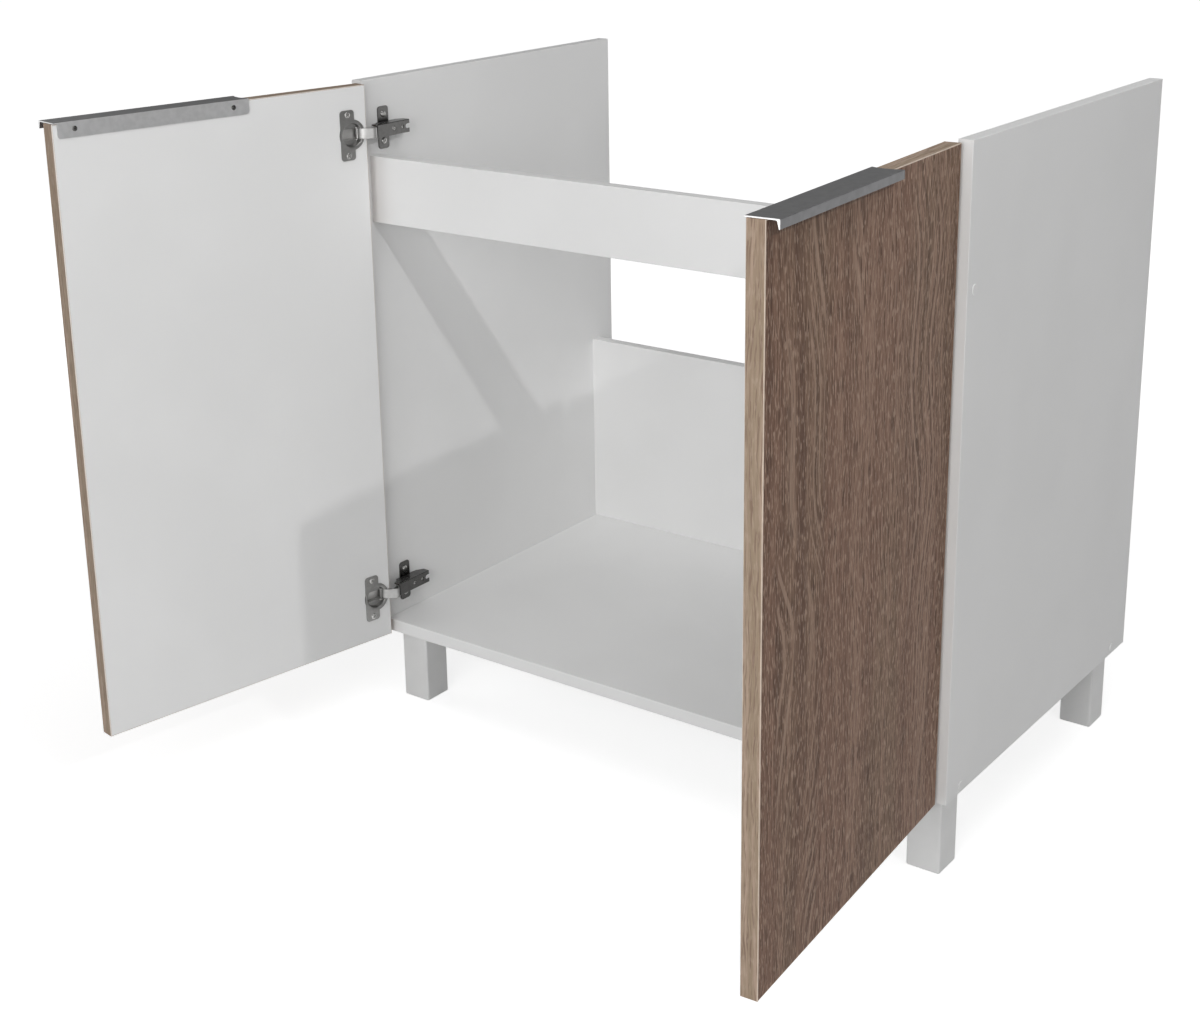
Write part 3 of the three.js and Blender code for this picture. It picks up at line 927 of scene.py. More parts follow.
@dataclass(frozen=True)
class Stand:
    """How plan millimetres stand in the row frame, on one side of the cabinet."""

    survey: Survey
    side: Side
    body: str = "carcass"
    turn: Matrix = field(default_factory=lambda: Matrix.Identity(4))

    def carry(self, place: Sequence[float]) -> Vector:
        """Takes a point to the row frame, before any turn.

        Args:
            place: the point in plan millimetres.

        Returns:
            The point in metres.
        """
        x, y, z = place
        across = self.side.value * (self.survey.width / 2 - x)
        return Vector((across, y, z)) * MM + self.survey.zero

    def aim(self, direction: Sequence[float]) -> Vector:
        """Takes a plan direction to the row frame, before any turn."""
        return Vector((-self.side.value * direction[0], direction[1], direction[2]))

    def turned(self, body: str, pivot: Point, degrees: float, moved: Vector | None = None) -> Stand:
        """The stand of what turns on a pivot.

        Args:
            body: the body that it belongs to.
            pivot: the pivot in the closed cabinet's plan.
            degrees: how far it is turned at rest, anticlockwise from above.
            moved: where the pivot is at rest in the row frame, if that isn't where it is when closed.

        Returns:
            The new stand.
        """
        closed = self.carry((*pivot, 0.0))
        rest = closed if moved is None else Vector((moved.x, moved.y, closed.z))
        turn = Matrix.Translation(rest) @ Matrix.Rotation(math.radians(degrees), 4, "Z")
        return Stand(self.survey, self.side, body, turn @ Matrix.Translation(-closed))


def add_piece(
    name: str,
    form: Form,
    stand: Stand,
    finishes: Sequence[bpy.types.Material],
    slot: Slot,
    nodes: Sequence[str] = (),
) -> None:
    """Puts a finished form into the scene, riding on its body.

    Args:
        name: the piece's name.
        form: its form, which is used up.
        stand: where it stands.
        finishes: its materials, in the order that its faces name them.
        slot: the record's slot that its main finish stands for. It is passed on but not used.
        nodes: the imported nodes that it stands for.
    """
    mesh = form.finished(name, stand.carry, stand.side is Side.RIGHT)
    _ride(bpy.data.objects.new(name, mesh), stand.turn, stand.body, finishes, slot, nodes)


def _ride(
    made: bpy.types.Object,
    matrix: Matrix,
    body: str,
    finishes: Sequence[bpy.types.Material],
    slot: Slot,
    nodes: Sequence[str],
) -> None:
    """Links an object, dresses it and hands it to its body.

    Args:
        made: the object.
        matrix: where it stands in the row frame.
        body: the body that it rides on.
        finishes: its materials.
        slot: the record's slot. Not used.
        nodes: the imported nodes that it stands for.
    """
    bpy.context.scene.collection.objects.link(made)
    made.matrix_world = matrix
    for finish in finishes:
        made.data.materials.append(finish)
    even = made.modifiers.new("Even normals", "WEIGHTED_NORMAL")
    even.keep_sharp = True
    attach(made, body)
    if nodes:
        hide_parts(*nodes)
    LOG.info("%s rides on %s", made.name, body)


# ---- screws ---------------------------------------------------------------------------------


@dataclass(frozen=True)
class Screw:
    """A domed screw with a threaded shank, in millimetres."""

    head_radius: float
    head_height: float
    shank_radius: float
    length: float
    drive: Drive = Drive.CROSS
    pitch: float = 1.6
    thread_depth: float = 0.45
    hole_reach: float = 4.0

    def form(self) -> Form:
        """Makes the screw along +z, with the top of its head at zero.

        Returns:
            The screw.
        """
        head, height = self.head_radius, self.head_height
        core = self.shank_radius - self.thread_depth
        profile: list[Point] = [(0, 0), (0.45 * head, 0.04 * height), (0.75 * head, 0.16 * height),
                                (0.93 * head, 0.4 * height), (head, 0.75 * height), (0.98 * head, height)]
        turns = int((self.length - height - self.shank_radius) / self.pitch)
        for turn in range(turns):
            start = height + turn * self.pitch
            profile += [(core, start + 0.3 * self.pitch), (self.shank_radius, start + 0.65 * self.pitch),
                        (core, start + self.pitch)]
        profile.append((0, self.length))
        screw = Form().turned(profile, (0, 0, 0), (0, 0, 1), sides=24)
        reach, width, depth = 0.58 * head, 0.15 * head, min(0.9 * height + 0.3, 1.7)
        if self.drive is Drive.CROSS:
            along = Form().box((-reach, -width, -1), (reach, width, depth))
            return screw.cut(along.join(Form().box((-width, -reach, -1), (width, reach, depth))))
        return screw.cut(Form().box((-head - 1, -width, -1), (head + 1, width, 0.6 * height)))

    def hole(self, place: Sequence[float], direction: Sequence[float]) -> Form:
        """The clearance hole for this screw's shank, cut past the face on both sides."""
        reach = self.hole_reach * Vector(direction)
        return Form().rod(Vector(place) - reach, Vector(place) + reach, self.shank_radius + GAP, sides=24)


@dataclass
class ScrewBox:
    """Makes each kind of screw once and sets copies of it, each turned a little differently."""

    finish: bpy.types.Material
    kinds: Mapping[str, Screw] = field(default_factory=lambda: {
        "cup": Screw(3.6, 1.1, 1.7, 14.0),
        "plate": Screw(3.9, 1.4, 2.6, 12.6, pitch=2.2, thread_depth=0.6),
        "handle": Screw(2.9, 0.9, 1.5, 13.0),
        "clamp": Screw(2.8, 1.5, 1.9, 11.5, pitch=0.9, thread_depth=0.25),
        "adjuster": Screw(2.35, 1.6, 1.7, 11.0, Drive.SLOTTED, pitch=0.9, thread_depth=0.25),
    })
    spins: Sequence[float] = (12.0, 57.0, 31.0, 74.0, 3.0, 45.0)
    meshes: dict[str, bpy.types.Mesh] = field(default_factory=dict)
    count: int = 0

    def _mesh(self, kind: str) -> bpy.types.Mesh:
        """Copies the mesh of one kind of screw, which is made when it is first wanted.

        Args:
            kind: the kind of screw.

        Returns:
            The copy.
        """
        if kind not in self.meshes:
            self.meshes[kind] = self.kinds[kind].form().finished(kind, lambda place: place * MM, False)
        return self.meshes[kind].copy()

    def add(
        self,
        kind: str,
        name: str,
        stand: Stand,
        place: Sequence[float],
        direction: Sequence[float],
        nodes: Sequence[str] = (),
        finish: bpy.types.Material | None = None,
    ) -> None:
        """Sets one screw.

        Args:
            kind: the kind of screw.
            name: the piece's name.
            stand: where the piece that it holds stands.
            place: the top of its head, in plan millimetres.
            direction: the way it is driven, in the plan.
            nodes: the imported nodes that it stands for.
            finish: its finish, if that isn't the usual one.
        """
        spin = math.radians(self.spins[self.count % len(self.spins)])
        self.count += 1
        aim = Vector((0, 0, 1)).rotation_difference(stand.aim(direction)).to_matrix().to_4x4()
        local = Matrix.Translation(stand.carry(place)) @ aim @ Matrix.Rotation(spin, 4, "Z")
        made = bpy.data.objects.new(name, self._mesh(kind))
        _ride(made, stand.turn @ local, stand.body, [finish or self.finish], Slot.ZINC, nodes)


# ---- boards ---------------------------------------------------------------------------------


@dataclass(frozen=True)
class Band:
    """One banded edge of a board: the axis that it faces, and which way."""

    axis: Axis
    way: int


UPRIGHT_BANDS = (Band(Axis.Y, -1), Band(Axis.Y, 1))
LEVEL_BANDS = (Band(Axis.Z, -1), Band(Axis.Z, 1))
SIDE_BANDS = (Band(Axis.X, -1), Band(Axis.X, 1))
BAND_WORDS = dict(zip((*UPRIGHT_BANDS, *LEVEL_BANDS, *SIDE_BANDS),
                      ("front", "rear", "lower", "upper", "hinge_side", "free_side")))


@dataclass
class BandedBoard:
    """A board with glued edging: a core, and a strip with a rounded arris on each banded edge."""

    name: str
    node: str
    stand: Stand
    low: Vector
    high: Vector
    face: Axis
    bands: Sequence[Band]
    band_thickness: float = 0.8
    arris: float = 0.6

    def core(self) -> Form:
        """Makes the board without its edging.

        Returns:
            The core.
        """
        low, high = self.low.copy(), self.high.copy()
        for band in self.bands:
            if band.way < 0:
                low[band.axis.value] += self.band_thickness
            else:
                high[band.axis.value] -= self.band_thickness
        return Form().box(low, high)

    def strip(self, band: Band) -> Form:
        """Makes one strip of edging. The strips that come first in the list run through at the corners.

        Args:
            band: the edge that it covers.

        Returns:
            The strip. Its arris takes finish 1 on the side of the low face and 2 on that of the high face.
        """
        run = self._run(band)
        outer = self.high[band.axis.value] if band.way > 0 else self.low[band.axis.value]
        inner = outer - band.way * self.band_thickness
        face_low, face_high = self.low[self.face.value], self.high[self.face.value]
        radii = (0, 0, self.arris, self.arris) if band.way > 0 else (self.arris, self.arris, 0, 0)
        outline = rounded_rectangle((face_low, min(inner, outer)), (face_high, max(inner, outer)), radii, 4)
        if self.face.value > band.axis.value:
            outline = [(point[1], point[0]) for point in outline]
        start, end = self.low[run.value], self.high[run.value]
        if run is not self._run(self.bands[0]):
            for other in self.bands:
                if other.axis is run:
                    start += self.band_thickness if other.way < 0 else 0
                    end -= self.band_thickness if other.way > 0 else 0
        middle = (face_low + face_high) / 2
        flat = 0.999

        def on_arris(normal: Vector) -> bool:
            """Whether a face with this normal lies on a rounded arris."""
            return max(abs(part) for part in normal) < flat

        strip = Form().prism(outline, run, start, end).paint(1, lambda normal, _: on_arris(normal))
        return strip.paint(2, lambda normal, place: on_arris(normal) and place[self.face.value] > middle)

    def _run(self, band: Band) -> Axis:
        """The axis that a strip runs along."""
        return next(axis for axis in Axis if axis not in (self.face, band.axis))

    def add(
        self,
        slot: Slot,
        faces: Sequence[bpy.types.Material],
        edging: Callable[[Band], Sequence[bpy.types.Material]],
        cuts: Sequence[Form] = (),
        outer_face: Callable[[Vector, Vector], bool] | None = None,
    ) -> None:
        """Adds the board and its edging to the scene.

        Args:
            slot: the record's slot. It is passed on but not used.
            faces: the core's materials.
            edging: the materials of a strip: its flat, its arris on the low face and on the high face.
            cuts: forms to cut from the core.
            outer_face: says which of the core's faces take the second material.
        """
        core = self.core().cut(*cuts)
        if outer_face is not None:
            core.paint(1, outer_face)
        add_piece(f"{self.name}_board", core, self.stand, faces, slot, [self.node])
        for band in self.bands:
            name = f"{self.name}_{BAND_WORDS[band]}_edging"
            add_piece(name, self.strip(band), self.stand, edging(band), slot)


@dataclass
class Carcass:
    """The white boards, the legs, and the caps over the screws that hold the boards."""

    survey: Survey
    finishes: Finishes
    cap_radius: float = 6.0
    cap_height: float = 1.0
    cap_round: float = 0.5
    screw_places: Sequence[str] = ("rail", "bottom_front", "bottom_rear")

    def board(self, node: str, face: Axis, bands: Sequence[Band], side: Side = Side.LEFT) -> None:
        """Adds one white board in place of its node.

        Args:
            node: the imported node.
            face: the axis across its thickness.
            bands: its banded edges.
            side: the side that its plan starts from.
        """
        low, high = self.survey.box(node, side)
        edging = [self.finishes.white_edging] * 3
        board = BandedBoard(node, node, Stand(self.survey, side), low, high, face, bands)
        board.add(Slot.MELAMINE, [self.finishes.melamine], lambda band: edging)

    @staticmethod
    def dress(node: str, finish: bpy.types.Material) -> None:
        """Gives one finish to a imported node, which keeps its own shape.

        Args:
            node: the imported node.
            finish: its material.
        """
        materials = bpy.data.objects[node].data.materials
        materials.clear()
        materials.append(finish)
        LOG.info("%s keeps its packed shape", node)

    def cap(self, side: Side, place: str) -> None:
        """Adds the cap over one carcass screw, on the outer face of a side.

        Args:
            side: the side.
            place: the screw's place in its node's name.
        """
        low, high = self.survey.box(f"{side.word}_{place}_screw", side)
        centre = (low + high) / 2
        radius, height, soft = self.cap_radius, self.cap_height, self.cap_round
        rim = [(radius - soft + soft * math.sin(angle), height - soft * (1 - math.cos(angle)))
               for angle in (0, math.pi / 6, math.pi / 3, math.pi / 2)]
        seat = 0.05
        profile = [(0, height), *rim, (radius, seat), (0, seat)]
        form = Form().turned(profile[::-1], (0, centre.y, centre.z), (-1, 0, 0), sides=48)
        stand = Stand(self.survey, side)
        add_piece(f"{side.word}_{place}_cap", form, stand, [self.finishes.plastic], Slot.PLASTIC)

    def add(self) -> None:
        """Adds the whole carcass."""
        for side in Side:
            self.board(f"{side.word}_side_panel", Axis.X, (*UPRIGHT_BANDS, *LEVEL_BANDS), side)
            for place in self.screw_places:
                self.cap(side, place)
                self.dress(f"{side.word}_{place}_screw", self.finishes.zinc)
            for end in ("front", "rear"):
                self.dress(f"{end}_{side.word}_leg", self.finishes.plastic)
        self.board("bottom_panel", Axis.Z, UPRIGHT_BANDS)
        self.board("front_rail", Axis.Y, LEVEL_BANDS[::-1])
        self.board("back_panel", Axis.Y, LEVEL_BANDS[::-1])


# ---- hinges ---------------------------------------------------------------------------------


@dataclass
class Hinge:
    """One concealed hinge: plate, arm and inner pivots on the side, two links, and the cup in the door."""

    stands: Mapping[str, Stand]
    finishes: Finishes
    screws: ScrewBox
    level: Level
    centre: float
    full_swing: float = 105.0
    outer_ratio: float = 0.277
    inner_ratio: float = 0.4
    arm_pivot: Point = (28.7, 7.5)
    cup_pivot: Point = (10.5, -9.0)
    inner_pivot: Point = (26.1, 13.4)
    pin_radius: float = 1.5
    cup_x: float = 23.5
    cup_bottom: float = -14.1
    cup_seat: float = -1.7
    cup_top: float = -0.7
    cup_radius: float = 17.2
    cup_pin_radius: float = 1.2
    rim_radius: float = 18.0
    bowl_floor: float = 7.4
    trim_half: float = 26.4
    flange_low: Point = (20.0, -29.5)
    flange_high: Point = (40.0, 29.5)
    flange_hole: float = 16.2
    corner: float = 4.0
    cup_screw_x: float = 29.5
    cup_screw_rise: float = 24.0
    pocket_reach: Point = (8.0, 35.0)
    pocket_half: float = 6.4
    mouth_floor: float = -3.4
    cheek_low: Point = (7.2, -13.87)
    cheek_high: Point = (16.0, -4.4)
    cheek_sheet: float = 1.1
    link_bends: Outline = ((12.7, -11.7), (15.5, -12.4), (19.2, -12.4), (25.5, -10.6), (31.6, -8.2),
                           (32.6, -6.0), (30.5, 1.5))
    link_half: float = 6.0
    link_sheet: float = 1.5
    lip_run: tuple[int, int] = (6, 23)
    lip_depth: float = 3.4
    lip_sheet: float = 1.3
    fork_half: float = 4.2
    inner_bends: Outline = ((17.0, -3.9), (19.6, 0.2), (22.4, 5.8))
    inner_half: float = 3.6
    inner_sheet: float = 1.5
    board: float = 16.0
    arm_inner_half: float = 6.5
    arm_sheet: float = 1.4
    web_x: float = 34.6
    arm_rear: float = 60.0
    arm_cheek: Outline = ((25.0, 60.0), (19.4, 50.0), (19.4, 20.0), (23.6, 9.0), (25.4, 3.0))
    notch_half: float = 2.8
    notch_depth: float = 4.5
    clamp_hole: float = 3.0
    adjuster_hole: float = 2.6
    adjuster_y: float = 47.0
    plate_y: float = 32.5
    plate_screw_rise: float = 16.0
    wing_half: Point = (9.0, 25.5)
    wing_sheet: float = 1.6
    bed_ends: Point = (17.0, 50.0)
    bed_half: float = 6.0
    bed_height: float = 6.4

    @property
    def name(self) -> str:
        """The start of this hinge's node names."""
        return f"{self.stands['carcass'].side.word}_{self.level.word}"

    def _bar(self, pivot: Point, half: float, radius: float) -> Form:
        """An upright bar on a pivot, as high above the hinge's centre as below it."""
        start, end = ((*pivot, self.centre + way * half) for way in (-1, 1))
        return Form().rod(start, end, radius, sides=24)

    def _span(self, half: float) -> tuple[float, float]:
        """The lowest and highest point of what is centred on the hinge."""
        return self.centre - half, self.centre + half

    def bowl(self) -> Form:
        """Makes the cup's bowl, its rim trimmed along the flange's straight edge.

        Returns:
            The bowl.
        """
        depth = self.cup_top - self.cup_bottom
        rim, floor = depth - 1.0, self.bowl_floor
        profile = [(0, 0), (15.6, 0), (16.8, 0.5), (self.cup_radius, 1.7), (self.cup_radius, rim),
                   (self.rim_radius, rim + 0.15), (self.rim_radius, depth - 0.3),
                   (self.rim_radius - 0.4, depth), (14.9, depth), (14.0, depth - 0.3), (13.5, rim),
                   (13.2, floor + 1.6), (12.6, floor + 0.5), (11.4, floor), (0, floor)]
        bowl = Form().turned(profile, (self.cup_x, self.cup_bottom, self.centre), (0, 1, 0), sides=64)
        low, high = self._span(self.trim_half)
        return bowl.cut(Form().box((self.flange_high[0] - 0.5, self.cup_seat, low), (50, 5, high)))

    def cup_flange(self) -> Form:
        """Makes the cup's flange, open over the bowl.

        Returns:
            The flange.
        """
        low, high = ((x, self.centre + rise) for x, rise in (self.flange_low, self.flange_high))
        outline = rounded_rectangle(low, high, (self.corner,) * 4)
        flange = Form().prism(outline, Axis.Y, self.cup_seat, self.cup_top - 0.06).round_edges(0.3)
        start, end = ((self.cup_x, y, self.centre) for y in (-5, 5))
        return flange.cut(Form().rod(start, end, self.flange_hole, sides=60))

    def cup(self) -> Form:
        """Makes the pressed cup: a bowl with a mouth for the links, two cheeks for the pin, and the flange.

        Returns:
            The cup, with finish 1, a pale copy of its nickel as painted light, inside its pocket.
        """
        cup = self.bowl().join(self.cup_flange())
        for way in (-1, 1):
            place = (self.cup_screw_x, self.cup_top, self.centre + way * self.cup_screw_rise)
            cup.cut(self.screws.kinds["cup"].hole(place, (0, -1, 0)))
        near, far = self.pocket_reach
        low, high = self._span(self.pocket_half)
        cup.cut(Form().box((near, self.cup_bottom + 0.4, low), (far, 5, high)),
                Form().box((0, self.mouth_floor, low - 0.02), (near + 0.6, 5, high + 0.02)))
        cheek = rounded_rectangle(self.cheek_low, self.cheek_high, (0, 0, 3.5, 3.0))
        for start, end in ((low - self.cheek_sheet, low - 0.03), (high + 0.03, high + self.cheek_sheet)):
            cup.join(Form().prism(cheek, Axis.Z, start, end))
        cup.join(self._bar(self.cup_pivot, self.pocket_half + 0.7, self.cup_pin_radius))
        return cup.paint(1, self._in_pocket)

    def _in_pocket(self, _normal: Vector, middle: Vector) -> bool:
        """Whether a face of the cup lies in the pocket that the links work in.

        Args:
            _normal: the face's normal, which doesn't matter.
            middle: the face's middle.

        Returns:
            True in the pocket.
        """
        slack = 0.1
        near, far = self.pocket_reach
        return (near - slack < middle.x < far + slack
                and abs(middle.z - self.centre) < self.pocket_half + slack
                and 0.3 < middle.y - self.cup_bottom < self.bowl_floor + slack)

    def outer_link(self) -> Form:
        """Makes the bowed link: a folded channel with an eye at each end, forked at the arm.

        Returns:
            The link.
        """
        path = smooth_path([self.cup_pivot, *self.link_bends, self.arm_pivot], 40)
        half_sheet = self.link_sheet / 2
        outline = offset_path(path, half_sheet) + offset_path(path, -half_sheet)[::-1]
        low, high = self._span(self.link_half)
        link = Form().prism(outline, Axis.Z, low, high).round_edges(0.25, sharper_than=50)
        fold = path[slice(*self.lip_run)]
        lips = offset_path(fold, 0.2) + offset_path(fold, self.lip_depth)[1:-2][::-1]
        for start, end in ((low + 0.04, low + self.lip_sheet), (high - self.lip_sheet, high - 0.04)):
            link.join(Form().prism(lips, Axis.Z, start, end))
        for pivot, outer, inner in ((self.arm_pivot, 2.7, 1.8), (self.cup_pivot, 2.1, 1.5)):
            link.cut(self._bar(pivot, 12, (outer + inner) / 2))
            link.join(self._bar(pivot, self.link_half - 0.05, outer).cut(self._bar(pivot, 12, inner)))
        x, y = self.arm_pivot
        low, high = self._span(self.fork_half)
        return link.cut(Form().box((x - 5, y - 5.3, low), (x + 5, y + 5, high)))

    def inner_link(self) -> Form:
        """Makes the inner link, which stops short of the cup.

        Returns:
            The link.
        """
        path = smooth_path([*self.inner_bends, self.inner_pivot], 16)
        half_sheet = self.inner_sheet / 2
        outline = offset_path(path, half_sheet) + offset_path(path, -half_sheet)[::-1]
        link = Form().prism(outline, Axis.Z, *self._span(self.inner_half)).round_edges(0.2, sharper_than=50)
        link.join(self._bar(self.inner_pivot, self.inner_half, 2.4))
        return link.cut(self._bar(self.inner_pivot, 12, 1.8))

    def arm(self) -> Form:
        """Makes the arm: a folded channel with its pivot pins, screw holes and the notch at its rear.

        Returns:
            The arm.
        """
        front = self.arm_cheek[-1][1]
        outline = [(self.web_x, front), (self.web_x, self.arm_rear), *self.arm_cheek]
        half = self.arm_inner_half + self.arm_sheet
        arm = Form().prism(outline, Axis.Z, *self._span(half)).round_edges(0.9, steps=3, sharper_than=60)
        inner_web = self.web_x - self.arm_sheet
        low, high = self._span(self.arm_inner_half)
        outline = rounded_rectangle((0, low), (inner_web, high), (0, 0.6, 0.6, 0), 3)[::-1]
        hollow = Form().prism(outline, Axis.Y, front - 5, self.arm_rear + 5)
        arm.cut(hollow, Form().box((inner_web - 5, front - 5, low), (self.web_x + 5, front + 1.5, high)))
        for y, radius in ((self.plate_y, self.clamp_hole), (self.adjuster_y, self.adjuster_hole)):
            arm.cut(Form().rod((inner_web - 2, y, self.centre), (self.web_x + 2, y, self.centre), radius))
        notch_end = self.arm_rear - self.notch_depth
        outline = [(self.arm_rear + 5, self.notch_half), *arc((notch_end, 0), self.notch_half, 90, 270, 12),
                   (self.arm_rear + 5, -self.notch_half)]
        notch = [(y, self.centre + z) for y, z in outline]
        arm.cut(Form().prism(notch, Axis.X, inner_web - 2, self.web_x + 2))
        for way in (-1, 1):
            start, end = ((*self.arm_pivot, self.centre + way * reach)
                          for reach in (self.inner_half + 0.4, half - 0.2))
            arm.join(Form().rod(start, end, self.pin_radius, sides=24))
        arm.join(self._bar(self.inner_pivot, half - 0.2, self.pin_radius))
        dome = [(0, -0.1), (1.9, -0.1), (1.7, 0.3), (1.1, 0.62), (0, 0.75)]
        for pivot in (self.arm_pivot, self.inner_pivot):
            for way in (-1, 1):
                arm.join(Form().turned(dome, (*pivot, self.centre + way * half), (0, 0, way), sides=24))
        return arm

    def plate(self) -> Form:
        """Makes the cross-shaped mounting plate: two screwed wings and a raised bed.

        Returns:
            The plate.
        """
        half_width, half_height = self.wing_half
        outline = rounded_rectangle(
            (self.plate_y - half_width, self.centre - half_height),
            (self.plate_y + half_width, self.centre + half_height), (self.corner,) * 4)
        wings = Form().prism(outline, Axis.X, self.board, self.board + self.wing_sheet).round_edges(0.35)
        low, high = self._span(self.bed_half)
        front, rear = self.bed_ends
        bed = Form().box((self.board, front, low), (self.board + self.bed_height, rear, high))
        plate = wings.join(bed.round_edges(0.7, steps=3))
        for way in (-1, 1):
            place = (self.board + self.wing_sheet, self.plate_y, self.centre + way * self.plate_screw_rise)
            plate.cut(self.screws.kinds["plate"].hole(place, (-1, 0, 0)))
        return plate

    def fasten(self, place: Level) -> None:
        """Sets one of the plate's two screws, and one of the cup's.

        Args:
            place: whether they are the upper or the lower ones.
        """
        plate_top = self.board + self.wing_sheet + self.screws.kinds["plate"].head_height
        cup_top = self.cup_top + self.screws.kinds["cup"].head_height
        plate_head = (plate_top, self.plate_y, self.centre + place.value * self.plate_screw_rise)
        cup_head = (self.cup_screw_x, cup_top, self.centre + place.value * self.cup_screw_rise)
        for kind, key, head, aim in (("plate", "carcass", plate_head, (-1, 0, 0)),
                                     ("cup", "door", cup_head, (0, -1, 0))):
            node = f"{self.name}_{kind}_{place.word}_screw"
            self.screws.add(kind, f"{node}_threaded", self.stands[key], head, aim, [node])

    def add(self) -> None:
        """Adds the whole hinge, with its screws."""
        # The plate and arm take the nickel painted dark as a painted reflection; the links and the cup take
        # lighter copies as painted light.
        nickel, steel = [self.finishes.nickel], [self.finishes.link_steel]
        # The cup's second finish is painted light in the shade of its pocket.
        cup_metal = [self.finishes.cup_nickel, self.finishes.pocket_nickel]
        parts = (
            ("mounting_plate", "plate_pressing", self.plate, "carcass", nickel),
            ("hinge_arm", "arm_channel", self.arm, "carcass", nickel),
            ("outer_link", "outer_link_channel", self.outer_link, "links", steel),
            ("inner_link", "inner_link_strip", self.inner_link, "inner", steel),
            ("hinge_cup", "cup_pressing", self.cup, "door", cup_metal),
        )
        for node, word, make, key, finish in parts:
            add_piece(f"{self.name}_{word}", make(), self.stands[key], finish, Slot.NICKEL,
                      [f"{self.name}_{node}"])
        for place in Level:
            self.fasten(place)
        for kind, word, x, y in (("clamp", "clamp_screw", self.web_x + 0.3, self.plate_y),
                                 ("adjuster", "adjusting_screw", self.web_x - 0.2, self.adjuster_y)):
            head = (x, y, self.centre)
            self.screws.add(kind, f"{self.name}_{word}", self.stands["carcass"], head, (-1, 0, 0))


# ---- doors ----------------------------------------------------------------------------------


